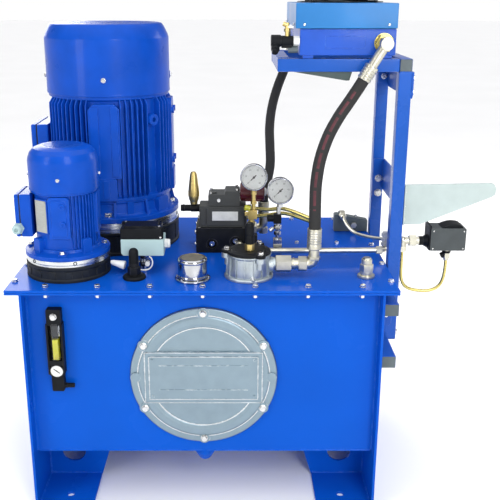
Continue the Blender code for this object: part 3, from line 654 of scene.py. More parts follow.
def camera():
    """A camera in front of the unit, a little above its top and looking down at it."""
    made = bpy.data.cameras.new("camera")
    made.lens = 57.46
    made.sensor_width = 36.0
    made.shift_x = 0.0278
    made.shift_y = -0.0197
    made.clip_end = 100
    holder = bpy.data.objects.new("camera", made)
    holder.location = (-0.0571, -2.0009, 1.2167)
    holder.rotation_euler = (math.radians(72.897), math.radians(-0.068), math.radians(-0.107))
    bpy.context.scene.collection.objects.link(holder)
    bpy.context.scene.camera = holder


def lamp(name, place, target, size, watts, colour=(1, 1, 1)):
    data = bpy.data.lights.new(name, "AREA")
    data.shape = "RECTANGLE"
    data.size, data.size_y = size
    data.energy = watts
    data.color = colour
    made = bpy.data.objects.new(name, data)
    made.location = place
    made.rotation_euler = (Vector(target) - Vector(place)).to_track_quat("-Z", "Y").to_euler()
    bpy.context.scene.collection.objects.link(made)


def studio():
    """Soft lamps, a pale sky with a few darker bands for metal to mirror, and a pale floor."""
    middle = (0, 0, 0.65)
    lamp("key_lamp", (1.0, -3.0, 1.9), middle, (1.0, 2.0), 54)
    lamp("left_lamp", (-2.4, -2.2, 1.6), middle, (0.8, 2.0), 26)
    lamp("back_lamp", (-1.6, 3.2, 2.0), middle, (1.4, 1.6), 38)
    lamp("side_lamp", (2.9, 2.0, 1.8), middle, (1.2, 1.6), 30)

    world = bpy.data.worlds.new("studio")
    bpy.context.scene.world = world
    world.use_nodes = True
    nodes, links = world.node_tree.nodes, world.node_tree.links
    place = nodes.new("ShaderNodeTexCoord").outputs["Generated"]
    parts = nodes.new("ShaderNodeSeparateXYZ")
    links.new(place, parts.inputs[0])
    height = nodes.new("ShaderNodeValToRGB")
    stops = height.color_ramp
    stops.elements[0].position = 0.0
    stops.elements[0].color = (0.59, 0.59, 0.59, 1)
    stops.elements[1].position = 1.0
    stops.elements[1].color = (1, 1, 1, 1)
    for position, value in ((0.06, 0.59), (0.15, 0.18), (0.45, 0.1), (0.62, 0.4), (0.75, 1.0)):
        stop = stops.elements.new(position)
        stop.color = (value, value, value * 1.02, 1)
    links.new(parts.outputs["Z"], height.inputs["Fac"])
    background = nodes["Background"]
    background.inputs["Strength"].default_value = 1.7
    links.new(height.outputs["Color"], background.inputs["Color"])

    bm = bmesh.new()
    bmesh.ops.create_circle(bm, cap_ends=True, segments=96, radius=40)
    floor = loose_object("floor", bm)
    pale = finish("pale_floor", (0.93, 0.93, 0.93), 0.6, tint=0.01, blotch=1.5, grain=60, depth=0.0002)
    floor.data.materials.append(pale)
    bpy.context.scene.view_settings.view_transform = "Standard"


# Hoses


FRONT_FERRULE = ((0.385, 0.152, 0.486), (0.3665, 0.152, 0.4545))
REAR_FERRULE = ((0.229, 0.532, 0.508), (0.216, 0.532, 0.466))
FRONT_RADIUS, FRONT_LENGTH = 0.014, 0.372
REAR_RADIUS, REAR_LENGTH = 0.0125, 0.406
FRONT_ROUTE = [
    (0.2606, 0.102, 0.1181), (0.2606, 0.102, 0.135), (0.2601, 0.104, 0.18), (0.2612, 0.107, 0.225),
    (0.269, 0.112, 0.278), (0.286, 0.12, 0.329), (0.309, 0.13, 0.371), (0.335, 0.142, 0.4075),
]
REAR_ROUTE = [
    (0.19, 0.523, 0.396), (0.175, 0.5, 0.345), (0.168, 0.466, 0.296), (0.168, 0.43, 0.252),
    (0.168, 0.398, 0.21), (0.16, 0.376, 0.17), (0.15, 0.366, 0.132), (0.15, 0.366, 0.1163),
]


def straight_from(ferrule, length):
    """The two points of a hose's straight stretch at a ferrule, from its face outwards."""
    waist, end = Vector(ferrule[0]), Vector(ferrule[1])
    along = (end - waist).normalized()
    return [end + GAP * along, end + length * along]


def hose(name, node, points, radius, length, stripe):
    """A rubber-covered pressure hose with a broken line of print along one side."""
    route = smooth_route(points, radius * 0.28)
    draw = random.Random(41)
    radii = [radius * (1 - 0.006 * draw.random()) for _ in route]
    tube = pipe(route, radius, 40, radii)
    tube.faces.ensure_lookup_table()
    whole = loose_object(name, tube)
    whole.data.materials.append(hose_rubber())
    whole.data.materials.append(hose_print())
    for index, face in enumerate(whole.data.polygons):
        step, side = divmod(index, 40)
        dash = step % 11 < 9 and 0.08 < step / len(route) < 0.92
        if stripe and dash and side in stripe:
            face.material_index = 1
    whole.data.shade_smooth()
    whole.data.set_sharp_from_angle(angle=math.radians(50))
    whole.location = ORIGIN
    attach(whole, "unit")
    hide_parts(node)
    path = [ORIGIN + point for point in route]
    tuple(path[0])


def hoses():
    front = FRONT_ROUTE + straight_from(FRONT_FERRULE, 0.016)[::-1]
    hose("hose_front_cover", "hose_front", front, FRONT_RADIUS, FRONT_LENGTH, (24, 25, 26))
    rear = straight_from(REAR_FERRULE, 0.016) + REAR_ROUTE
    hose("hose_rear_cover", "hose_rear", rear, REAR_RADIUS, REAR_LENGTH, ())


# Tank


FRONT_BOLTS = (-0.36, -0.241, -0.121, 0.0, 0.121, 0.242, 0.367)
SIDE_BOLTS = (0.0625, 0.1875, 0.3473, 0.5571)
BOLT_INSET, BOLT_SIDE = 0.026, 0.4385
WALL = 0.005
FOOT = 0.006
MOUTH_SIDE, MOUTH_END = 0.4, 0.056


def tank_walls():
    """The welded front, back and bottom, with the seams that join them and the drain boss."""
    front_low, front_high = span("tank_front_plate")
    back_low, back_high = span("tank_wrapper")
    inside = back_high.y - WALL
    plates = [box(front_low, front_high), box((back_low.x, inside, back_low.z), back_high)]
    plates.append(box(back_low, (back_high.x, inside, back_low.z + WALL)))
    seams = []
    for x in (front_low.x, front_high.x):
        for y in (front_low.y, back_high.y):
            seams.append(bead((x, y, front_low.z + 0.002), (x, y, front_high.z - 0.004)))
    for y in (front_high.y - 0.004, back_high.y - 0.004):
        start, end = front_low.x + 0.004, front_high.x - 0.004
        seams.append(bead((start, y, front_low.z), (end, y, front_low.z), 0.0022))
    plug = centre("drain_plug")
    at = (plug.x, plug.y, front_low.z)
    boss = [(0, 0.002), (0.026, 0.002), (0.026, -0.0165), (0.0238, -0.0215), (0.015, -0.0365)]
    boss += [(0.0115, -0.04), (0.006, -0.041), (0, -0.041)]
    plates.append(turned(boss, at, edge=0.002))
    seams.append(turned(ring(0.025, 0.0285, -0.0022, 0.001), at, edge=0.001))
    piece("tank_walls", [(tank_paint(), plates + seams)],
          replaces=("tank_front_plate", "tank_wrapper", "drain_plug"))


def tank_side(node, hand):
    """A side plate that runs down to the floor, with its two feet: hand is -1 left, 1 right."""
    low, high = span(node)
    outer = high.x if hand > 0 else low.x
    inner = outer - hand * FOOT
    solids = [box((min(outer, inner), low.y, FLOOR), (max(outer, inner), high.y, high.z))]
    sole = FLOOR + FOOT
    toe = hand * min(abs(low.x), abs(high.x))
    toe_x, window_x, anchor_x = hand * 0.2765, hand * 0.348, hand * 0.341
    web_top = span("tank_front_plate")[0].z
    outline = [(inner, FLOOR), (toe_x, FLOOR), (toe, FLOOR + 0.07), (toe, web_top), (inner, web_top)]
    feet = ((0.154, 0.154, (low.y + 0.001, 0.155), -0.022), (0.466, 0.472, (0.47, high.y - 0.001), 0.022))
    for web, face, (start, end), off in feet:
        hole = turned(disc(0.031, -0.02, 0.02), (window_x, web, FLOOR + 0.072), FRONT, 48, 0)
        solids.append(carved(wall(outline, web, web + FOOT), hole))
        plate = box((min(inner, toe_x), start, FLOOR), (max(inner, toe_x), end, sole))
        anchor = (anchor_x, (start + end) / 2 + off, FLOOR)
        solids.append(carved(plate, *stack(anchor, UP, (0.009, -0.01, 0.02, 32, 0))))
        reach = hand * 0.003
        solids.append(bead((inner - reach, face, sole), (toe_x + reach, face, sole), 0.0032))
        solids.append(bead((inner, face, sole + 0.003), (inner, face, web_top - 0.002), 0.003))
        solids.append(bead((inner, start + 0.004, sole), (inner, end - 0.004, sole), 0.003))
    piece(node + "_plate", [(tank_paint(), solids)], replaces=(node,))


def tank_flange():
    """The flange round the tank's mouth, its seams below and the gasket on it."""
    low, high = span("tank_flange")

    def mouth():
        far = (MOUTH_SIDE, LID_DEPTH - MOUTH_END, high.z + 0.01)
        return box((-MOUTH_SIDE, MOUTH_END, low.z - 0.01), far, 0)

    flange = carved(box(low, high, 0.0012), mouth())
    sheet = box(low + Vector((0.003, 0.003, 0.0051)), high + Vector((-0.003, -0.003, GAP)), 0)
    gasket = carved(sheet, mouth())
    seam_z = low.z - 0.0005
    seams = []
    for y in (0.0385, LID_DEPTH - 0.0385):
        seams.append(bead((-0.408, y, seam_z), (0.408, y, seam_z), 0.0028))
    for x in (-0.4185, 0.4185):
        seams.append(bead((x, 0.008, seam_z), (x, LID_DEPTH - 0.008, seam_z), 0.0024))
    piece("tank_flange_frame", [(tank_paint(), [flange, *seams]), (black_rubber(), [gasket])],
          replaces=("tank_flange",))


def tank_lid():
    """The lid with its openings, and the screws and nuts that clamp it to the flange."""
    low, high = span("tank_lid")
    openings = {"large_motor_flange": 0.104, "small_motor_housing": 0.056, "breather_cap": 0.0225,
                "filter_bowl": 0.0425, "level_switch_float": 0.008}
    cutters = []
    for node, radius in openings.items():
        x, y, _ = centre(node)
        cutters.append(rod(radius, (x, y, low.z - 0.01), (x, y, high.z + 0.01), 64, 0))
    piece("tank_lid_plate", [(tank_paint(), [carved(box(low, high, 0.0014), *cutters)])],
          replaces=("tank_lid",))

    places = [(x, y) for y in (BOLT_INSET, LID_DEPTH - BOLT_INSET) for x in FRONT_BOLTS]
    places += [(side * BOLT_SIDE, y) for y in SIDE_BOLTS for side in (-1, 1)]
    heads, nuts = [], []
    under = span("tank_flange")[0].z
    for x, y in places:
        heads += bolt((x, y, 0), 0.0072)
        nuts += bolt((x, y, under), 0.0072, DOWN, washer=False)
        nuts += stack((x, y, under), DOWN, (0.0068, 0.004, 0.013, 6, 0.001),
                      (0.004, 0.012, 0.0145, 20, 0.001))
    for x in (0.241, 0.348):
        heads += bolt((x, 0.365, 0), 0.006)
    piece("lid_screws", [(steel(), heads)])
    piece("lid_nuts", [(steel(), nuts)])


def inspection_cover():
    """A cast cover with a raised ring and a raised plate, which is left blank."""
    low, high = span("inspection_cover")
    middle = Vector(((low.x + high.x) / 2, high.y, (low.z + high.z) / 2))
    radius = (high.x - low.x) / 2

    def on_cover(x, z, depth=0.0):
        """A place on the cover's back plane, or at a depth in front of it."""
        return middle + Vector((x, -depth, z))

    def bar(x, z, half_x, half_z, corner, thickness, depth, edge, steps=3, segments=2):
        """A flat bar with round corners: its middle, half sizes, thickness and depth."""
        outline = rounded_box_outline((x - half_x, z - half_z), (x + half_x, z + half_z), corner, steps)
        return prism(outline, thickness, on_cover(0, 0, depth), FRONT, edge, segments)

    profile = [(0, 0), (radius, 0), (radius, 0.006), (0.1725, 0.008), (0.157, 0.008), (0.1545, 0.0108)]
    profile += [(0.151, 0.0122), (0.137, 0.0122), (0.1335, 0.011), (0.1305, 0.011), (0.1275, 0.0088)]
    profile += [(0, 0.0088)]
    solids = [turned(profile, middle, FRONT, 144, 0.0012)]
    solids.append(bar(0, 0, 0.1405, 0.0665, 0.012, 0.01, 0.004, 0.002, 6, 3))
    solids.append(bar(0, 0, 0.13, 0.0565, 0.006, 0.004, 0.012, 0.002, 6, 3))
    solids += [bar(0, z, 0.105, 0.0012, 0.001, 0.0014, 0.0155, 0.0005) for z in (-0.03, 0.033)]
    for x in (-0.121, 0.121):
        for z in (-0.0475, 0.0475):
            solids.append(turned(disc(0.0034, 0.015, 0.018), on_cover(x, z), FRONT, 20, 0.001))
    # Thin bright rings and bars along the rims of the raised ring and plate: painted highlights for the light
    # on those edges.
    lines = []
    for inner, outer, low_y, high_y in ((0.1262, 0.1288, 0.0086, 0.01), (0.1562, 0.1584, 0.0078, 0.0092)):
        lines.append(turned(ring(inner, outer, low_y, high_y), middle, FRONT, 96, 0.0006))
    for half_x, half_z, depth in ((0.1392, 0.0652, 0.0134), (0.1288, 0.0553, 0.0154)):
        for side in (-1, 1):
            lines.append(bar(0, side * half_z, half_x, 0.0007, 0.0006, 0.0012, depth, 0.0004))
            lines.append(bar(side * half_x, 0, 0.0007, half_z, 0.0006, 0.0012, depth, 0.0004))
    screws = []
    for step in range(6):
        angle = math.radians(30 + 60 * step)
        x, z = 0.163 * math.cos(angle), 0.163 * math.sin(angle)
        solids.append(turned(disc(0.014, 0.004, 0.01), on_cover(x, z), FRONT, 32, 0.0015))
        screws += bolt(on_cover(x, z, 0.0098), 0.0085, FRONT)
    for x in (-0.162, 0.162):
        solids.append(turned(disc(0.0125, 0.004, 0.0122), on_cover(x, 0), FRONT, 32, 0.002))
    seal = turned(disc(radius + 0.0006, -0.0002, 0.0012), middle, FRONT, 96, 0.0002)
    parts = [(cast_aluminium(), solids), (machined_aluminium_and_highlight(), lines), (black_rubber(), [seal])]
    piece("inspection_cover_casting", parts, replaces=("inspection_cover",))
    piece("inspection_cover_screws", [(steel(), screws)])


def level_gauge():
    """A sight glass with oil in its lower half over a dial thermometer, and a stub at its foot."""
    low, high = span("level_gauge")
    right_edge, half = -0.325, 0.0172
    middle = (low.x + right_edge) / 2
    back, top = high.y, high.z
    dial_z, stub_z = -0.209, -0.25
    head = rounded_box_outline((middle - half, top - 0.04), (middle + half, top), 0.003)
    foot = rounded_box_outline((middle - 0.0135, low.z), (middle + 0.0155, low.z + 0.048), 0.004)
    case = [prism(head, 0.021, (0, back, 0), FRONT), prism(foot, 0.02, (0, back, 0), FRONT)]
    for x, reach, front in ((-half, 0.0022, 0.016), (half, 0.0022, 0.016), (0, half, 0.034)):
        start, end = middle + x - reach, middle + x + reach
        case.append(box((start, front, low.z + 0.045), (end, back, top - 0.036)))
    case.append(box((middle - half, 0.0165, -0.194), (middle + half, back, -0.182)))
    for profile in (ring(0.015, 0.0176, 0, 0.0165), disc(0.017, 0, 0.012)):
        case.append(turned(profile, (middle, 0.0325, dial_z), FRONT))
    glass_x = middle + 0.0005
    tube = [box((glass_x - 0.0088, 0.0185, -0.185), (glass_x + 0.0088, 0.0332, -0.088), 0.002)]
    level = [box((glass_x - 0.007, 0.0192, -0.1805), (glass_x + 0.007, 0.032, -0.1285), 0.002)]
    dial = [turned(disc(0.015, 0, 0.0018), (middle, 0.0208, dial_z), FRONT, 40, 0.0003)]
    hand = [(0.0006, -0.009), (0.0014, 0), (0.0006, 0.009)]
    hand += [(-0.0006, 0.009), (-0.0014, 0), (-0.0006, -0.009)]
    needle = on_dial(prism(hand, 0.0006, aim=FRONT, edge=0), -52, (middle, 0.0188, dial_z))
    stub = stack((middle, 0.028, stub_z), RIGHT, (0.0055, 0.012, high.x - middle), (0.007, 0.013, 0.022, 6))
    screw = bolt((middle, back - 0.0205, -0.0715), 0.0082, FRONT)
    piece("level_gauge_case", [(black_plastic(), case + stub), (steel(), screw), (print_black(), [needle]),
                               (dial_white(), dial)], replaces=("level_gauge",))
    piece("level_gauge_oil", [(oil(), level)])
    piece("level_gauge_tube", [(glass("sight_glass", (0.8, 0.86, 0.95)), tube)],
          replaces=("level_gauge_glass",))


def tank():
    tank_walls()
    tank_side("tank_side_left", -1)
    tank_side("tank_side_right", 1)
    tank_flange()
    tank_lid()
    inspection_cover()
    level_gauge()


# Motors


def round_motor(solids, middle, degrees):
    """Solids made round the Z axis at its front, set on a motor at an angle."""
    return [spun(shift(solid, (middle[0], middle[1], 0)), middle, degrees) for solid in solids]


def rib(outline, thick, middle, degrees, edge=0.0008):
    """An upright rib on a motor: its outline is of (distance from the axis, height) points."""
    return round_motor([prism(outline, thick, (0, thick / 2, 0), FRONT, edge)], middle, degrees - 90)


def fin_ring(middle, count, root, tip, low, high, thick, slope, gaps):
    """Cooling fins with sloped ends; gaps are (middle, half width) in degrees without fins."""
    outline = [(root, low), (tip - slope, low), (tip, low + 1.5 * slope)]
    outline += [(tip, high - 1.5 * slope), (tip - slope, high), (root, high)]
    fins = []
    for step in range(count):
        degrees = 360 * (step + 0.5) / count
        if all(abs((degrees - gap + 180) % 360 - 180) >= half for gap, half in gaps):
            fins += rib(outline, thick, middle, degrees, 0.35 * thick)
    return fins


def pad(reach, depth, half, low, high, cut=0.0, edge=0.0012):
    """A flat pad on a motor's front: reach is its face's distance from the axis, cut its top corners."""
    outline = [(-half, low), (half, low), (half, high), (-half, high)]
    if cut:
        outline[2:] = [(half, high - cut), (half - cut, high), (-half + cut, high), (-half, high - cut)]
    return prism(outline, depth, (0, depth - reach, 0), FRONT, edge)


def perforated(at, radius, low, high, hole, pitch):
    """A round sheet with rows of round holes."""
    cutter = bmesh.new()
    rows = int(radius / pitch) + 1
    for row in range(-rows, rows + 1):
        for column in range(-rows, rows + 1):
            x = (column + 0.5 * (row % 2)) * pitch
            y = row * pitch * math.sqrt(0.75)
            if math.hypot(x, y) <= radius - 1.8 * hole:
                add_solid(cutter, turned(disc(hole, low - 0.01, high + 0.01), (x, y, 0), UP, 12, 0))
    return shift(carved(turned(disc(radius, low, high), (0, 0, 0), UP, 72, 0), cutter), at)


def cowl_fixings(at, first, height, boss, screw, segments):
    """Four screws on low bosses: boss is (reach, radius, top radius, thickness), screw (reach, size)."""
    bosses, screws = [], []
    reach, radius, top, thick = boss
    for degrees in range(first, 360, 90):
        profile = [(0, 0), (radius, 0), (top, thick), (0, thick)]
        bosses.append(turned(profile, on_circle(at, reach, degrees, height), outwards(degrees), segments))
        screws += bolt(on_circle(at, screw[0], degrees, height), screw[1], outwards(degrees))
    return bosses, screws


def connection_box(low, high, wall_x, lid, body, edge, inset, screw):
    """A terminal box that faces left: lid and body are where one ends and the other starts."""
    solids = [box((low.x + body, low.y, low.z), (wall_x, high.y, high.z), edge)]
    solids.append(box(low, (low.x + lid, high.y, high.z), edge))
    rim = Vector((0, 0.002, 0.002))
    start = Vector((low.x + lid - 0.0008, low.y, low.z))
    end = Vector((low.x + body + 0.0006, high.y, high.z))
    screws = []
    for y in (low.y + inset, high.y - inset):
        for z in (low.z + inset, high.z - inset):
            screws += socket_screw((low.x + screw, y, z), screw, LEFT)
    return [(motor_paint(), solids), (black_rubber(), [box(start + rim, end - rim, 0)]), (steel(), screws)]


def large_barrel(at):
    """The large motor's finned housing, with flat pads at the front, right and back."""
    tube = [(0.093, 0.138), (0.156, 0.138), (0.156, 0.145), (0.1475, 0.149), (0.1475, 0.389)]
    tube += [(0.1545, 0.393), (0.1545, 0.4), (0.023, 0.4), (0.023, 0.388), (0.093, 0.388)]
    solids = [turned(tube, at, UP, 96)]
    gaps = [(2.8, 13.6), (90, 13), (180, 13), (48, 5.5), (-90, 28)]
    solids += fin_ring(at, 72, 0.14, 0.165, 0.143, 0.3945, 0.003, 0.01, gaps)
    parts = [pad(0.166, 0.03, 0.0385, 0.199, 0.384, 0.013)]
    for inner, outer, corner in ((-0.013, -0.0345, -0.03), (0.0165, 0.0345, 0.03)):
        strip = [(inner, 0.206), (outer, 0.206), (outer, 0.373), (corner, 0.378), (inner, 0.378)]
        parts.append(prism(strip, 0.006, (0, -0.163, 0), FRONT, 0.001))
    parts.append(pad(0.168, 0.034, 0.0265, 0.143, 0.2, 0.004))
    parts.append(pad(0.17, 0.01, 0.0085, 0.148, 0.195, 0.002))
    solids += round_motor(parts, at, 3)
    for degrees in (90, 180):
        parts = [pad(0.164, 0.03, 0.035, 0.199, 0.384, 0.013), pad(0.167, 0.034, 0.0265, 0.143, 0.2, 0.004)]
        parts += [turned(disc(0.008, 0, 0.012), (x, -0.158, z), FRONT, 24)
                  for x in (-0.022, 0.022) for z in (0.222, 0.352)]
        solids += round_motor(parts, at, degrees)
    eye = [(0, 0), (0.015, 0), (0.014, 0.031), (0.006, 0.031), (0.006, 0.022), (0, 0.022)]
    solids.append(turned(eye, on_circle(at, 0.14, 48, 0.34), outwards(48), 32))
    piece("large_motor_barrel", [(motor_paint(), solids)],
          replaces=("large_motor_housing",))


def large_shield(at):
    """The large motor's lower end shield, ribbed, with the screws that hold it down."""
    rim = [(0.023, 0.0856), (0.175, 0.0856), (0.175, 0.098), (0.16, 0.1), (0.153, 0.106)]
    rim += [(0.15, 0.13), (0.154, 0.133), (0.154, 0.1377), (0.023, 0.1377)]
    solids = [turned(rim, at, UP, 96)]
    for quarter in range(0, 360, 90):
        for degrees, reach, thick in ((9, 0.166, 0.0065), (40, 0.166, 0.0065), (24, 0.156, 0.018)):
            outline = [(0.13, 0.095), (reach, 0.095), (reach, 0.104), (0.158, 0.1365), (0.13, 0.1365)]
            solids += rib(outline, thick, at, degrees + quarter)
        solids += round_motor([pad(0.165, 0.03, 0.021, 0.0975, 0.1365, 0.006)], at, 60 + quarter)
        solids.append(turned(disc(0.016, 0.09, 0.1005), on_circle(at, 0.156, 3 + quarter, 0), UP, 32))
    screws = bolt_circle(at, 0.1545, 3, 4, 0.1004, 0.0105)
    piece("large_motor_shield", [(motor_paint(), solids), (steel(), screws)],
          replaces=("large_motor_flange",))


def large_cowl(at):
    """The large motor's fan cover with its perforated top."""
    skin = [(0.1555, 0.4003), (0.158, 0.4003), (0.1585, 0.404), (0.158, 0.4075), (0.158, 0.536)]
    skin += [(0.155, 0.545), (0.147, 0.562), (0.141, 0.57), (0.134, 0.572), (0.118, 0.572)]
    skin += [(0.118, 0.5698), (0.1335, 0.5698), (0.1395, 0.568), (0.145, 0.5605), (0.1528, 0.544)]
    skin += [(0.1556, 0.5355)]
    solids = [turned(skin, at, UP, 128, 0.0012), perforated(at, 0.1195, 0.5696, 0.5716, 0.0048, 0.0128)]
    solids.append(turned(ring(0.1185, 0.1225, 0.569, 0.572), at, UP, 96))
    bosses, screws = cowl_fixings(at, 4, 0.441, (0.1578, 0.0105, 0.0085, 0.0016), (0.1592, 0.006), 32)
    piece("large_motor_cowl", [(motor_paint(), solids + bosses), (steel(), screws)],
          replaces=("large_motor_fan_cover",))


def large_motor():
    x, y, _ = centre("large_motor_housing")
    at = (x, y, 0)
    large_barrel(at)
    large_shield(at)
    large_cowl(at)
    low, high = span("large_motor_terminal_box")
    parts = connection_box(low, high, x - 0.15, 0.0135, 0.015, 0.004, 0.011, 0.0042)
    plugs = []
    for plug_y in (y - 0.034, y + 0.034):
        under = (low.x + 0.027, plug_y, low.z)
        plugs += stack(under, DOWN, (0.0125, -0.002, 0.004, 6), (0.01, 0, 0.009, 28))
    piece("large_motor_connection_box", [*parts, (black_plastic(), plugs)],
          replaces=("large_motor_terminal_box",))


def small_barrel(at):
    """The small motor's finned housing on its flange, with a blank name plate."""
    tube = [(0.046, 0.066), (0.078, 0.066), (0.079, 0.072), (0.0715, 0.0745), (0.0715, 0.2)]
    tube += [(0.0785, 0.202), (0.0785, 0.2066), (0.013, 0.2066), (0.013, 0.199), (0.046, 0.199)]
    rim = [(0.013, 0.0531), (0.1, 0.0531), (0.1, 0.0625), (0.088, 0.0645), (0.08, 0.067)]
    rim += [(0.078, 0.0735), (0.045, 0.0735), (0.045, 0.07), (0.013, 0.07)]
    solids = [turned(tube, at, UP, 72), turned(rim, at, UP, 96)]
    gaps = [(0, 19.5), (-33, 14), (90, 20), (180, 20), (-90, 42)]
    solids += fin_ring(at, 56, 0.066, 0.079, 0.07, 0.2045, 0.0021, 0.005, gaps)
    parts = [pad(0.079, 0.018, 0.0245, 0.102, 0.2, 0.006), pad(0.0812, 0.008, 0.0175, 0.108, 0.193, 0.004)]
    eye = [(0, 0), (0.0072, 0), (0.0066, 0.005), (0.003, 0.005), (0.003, 0.003), (0, 0.003)]
    parts += [turned(eye, (0.0085, -0.08, z), FRONT, 24) for z in (0.1375, 0.179)]
    solids += round_motor(parts, at, 0)
    for degrees in (90, 180):
        solids += round_motor([pad(0.0785, 0.018, 0.022, 0.102, 0.2, 0.006)], at, degrees)
    for degrees in (44, -44, 136, 224):
        solids += round_motor([pad(0.086, 0.022, 0.012, 0.064, 0.099, 0.004)], at, degrees)
    for degrees in range(3, 360, 90):
        solids += round_motor([box((-0.009, -0.0925, 0.06), (0.009, -0.0625, 0.069))], at, degrees)
    solids += round_motor([pad(0.0785, 0.016, 0.0185, 0.112, 0.193)], at, -33)
    plate = [pad(0.08, 0.003, 0.0165, 0.115, 0.19, 0.0, 0.0004)]
    plate += [turned(disc(0.0016, 0, 0.0012), (x, -0.0798, z), FRONT, 12, 0.0003)
              for x in (-0.014, 0.014) for z in (0.118, 0.187)]
    screws = bolt_circle(at, 0.087, 3, 4, 0.0689, 0.007)
    piece("small_motor_barrel", [(motor_paint(), solids), (steel(), screws),
                                 (name_plate(), round_motor(plate, at, -33))],
          replaces=("small_motor_housing",))


def small_cowl(at):
    """The small motor's fan cover with its perforated top."""
    skin = [(0.0787, 0.2069), (0.081, 0.2069), (0.0814, 0.209), (0.081, 0.2115), (0.081, 0.274)]
    skin += [(0.0795, 0.282), (0.075, 0.2935), (0.066, 0.3025), (0.056, 0.3065), (0.047, 0.3082)]
    skin += [(0.047, 0.3064), (0.0555, 0.3047), (0.065, 0.3008), (0.0736, 0.2923), (0.0776, 0.2815)]
    skin += [(0.0788, 0.2735)]
    solids = [turned(skin, at, UP, 96, 0.001), perforated(at, 0.0478, 0.306, 0.308, 0.0021, 0.0058)]
    bosses, screws = cowl_fixings(at, 2, 0.24, (0.0808, 0.0065, 0.0052, 0.0012), (0.0818, 0.0042), 24)
    piece("small_motor_cowl", [(motor_paint(), solids + bosses), (steel(), screws)],
          replaces=("small_motor_fan_cover",))


def small_motor():
    x, y, _ = centre("small_motor_housing")
    at = (x, y, 0)
    small_barrel(at)
    small_cowl(at)
    low, high = span("small_motor_terminal_box")
    low = Vector((-0.436, y - 0.048, low.z))
    parts = connection_box(low, high, x - 0.07, 0.0108, 0.012, 0.0035, 0.009, 0.0034)
    gland_x, gland_z = -0.43, 0.1195
    gland = stack((gland_x + 0.001, low.y, gland_z), FRONT, (0.014, -0.001, 0.006, 6))
    dome = [(0, 0.005), (0.0115, 0.005), (0.012, 0.008), (0.0105, 0.017), (0.007, 0.0197)]
    dome += [(0.0045, 0.0197), (0.0045, 0.015), (0, 0.015)]
    gland.append(turned(dome, (gland_x, low.y, gland_z), FRONT, 32))
    piece("small_motor_connection_box", [*parts, (switch_grey(), gland)],
          replaces=("small_motor_terminal_box",))


def rubber_rings():
    """The black rubber ring that carries each motor on the lid."""
    for size, inner in (("large", 0.104), ("small", 0.056)):
        low, high = span(size + "_damping_ring")
        x, y, _ = (low + high) / 2
        outer = (high.x - low.x) / 2
        waist = outer - 0.0022
        rubber = [(inner, low.z), (outer, low.z), (outer, low.z + 0.0062), (waist, low.z + 0.0085)]
        rubber += [(waist, high.z - 0.0085), (outer, high.z - 0.0062), (outer, high.z), (inner, high.z)]
        solids = [turned(rubber, (x, y, 0), UP, 128)]
        for step in range(16):
            lug = pad(outer - 0.0006, 0.006, 0.0075, low.z + 0.01, high.z - 0.01, 0.001, 0.0008)
            solids += round_motor([lug], (x, y), 11 + 22.5 * step)
        piece(size + "_rubber_ring", [(black_rubber(), solids)],
              replaces=(size + "_damping_ring",))


# Fittings on the lid


def breather():
    """A flanged neck with a strainer below and a chrome cap that turns."""
    x, y, _ = centre("breather_cap")
    at = (x, y, 0)
    neck = [(0.019, 0.024), (0.022, 0.024), (0.022, 0.0072), (0.0395, 0.006), (0.0415, 0.0046)]
    neck += [(0.0415, GAP), (0.022, GAP), (0.022, -0.12), (0.0208, -0.12), (0.019, -0.02)]
    screws = []
    for degrees in range(20, 360, 60):
        screws += socket_screw(on_circle(at, 0.038, degrees, 0.0052), 0.003)
    wires = [-0.118 + 0.003 * step for step in range(37)]
    strainer = [turned(ring(0.02, 0.0212, z, z + 0.0016), at, UP, 32, 0.0003) for z in wires]
    strainer.append(turned(disc(0.0212, -0.12, -0.118), at, UP, 32))
    piece("breather_collar", [(chrome(), [turned(neck, at, UP, 64)]), (steel(), screws + strainer)],
          replaces=("breather_neck",))
    cap = [(0.0225, 0.0065), (0.034, 0.0065), (0.0355, 0.008), (0.0355, 0.011), (0.0343, 0.013)]
    cap += [(0.034, 0.044), (0.035, 0.0462), (0.035, 0.049), (0.033, 0.0525), (0.03, 0.054)]
    cap += [(0.027, 0.0536), (0.012, 0.053), (0, 0.053), (0, 0.028), (0.0225, 0.028)]
    piece("breather_shell", [(chrome(), [turned(cap, at, UP, 96)])], body="filler_cap",
          replaces=("breather_cap",))
    print_disc = turned([(0, 0.0531), (0.0262, 0.0531), (0.0255, 0.0539), (0, 0.0539)], at, UP, 64, 0.0003)
    piece("breather_disc", [(old_print(), [print_disc])], body="filler_cap")


def ferrule(grooves, groove, start, end, inner=0.01):
    """A crimped ferrule's profile: start and end are its plain ends, groove one groove's points."""
    profile = [(inner, start[0][1]), *start]
    for z in grooves:
        profile += [(radius, z + rise) for radius, rise in groove]
    return [*profile, *end, (inner, end[-1][1])]


HEAD_TOP = 0.0595
PORT_Z = 0.031
LUGS = (-90, 30, 150)
FOOT_NUTS = (10, 130, 250)


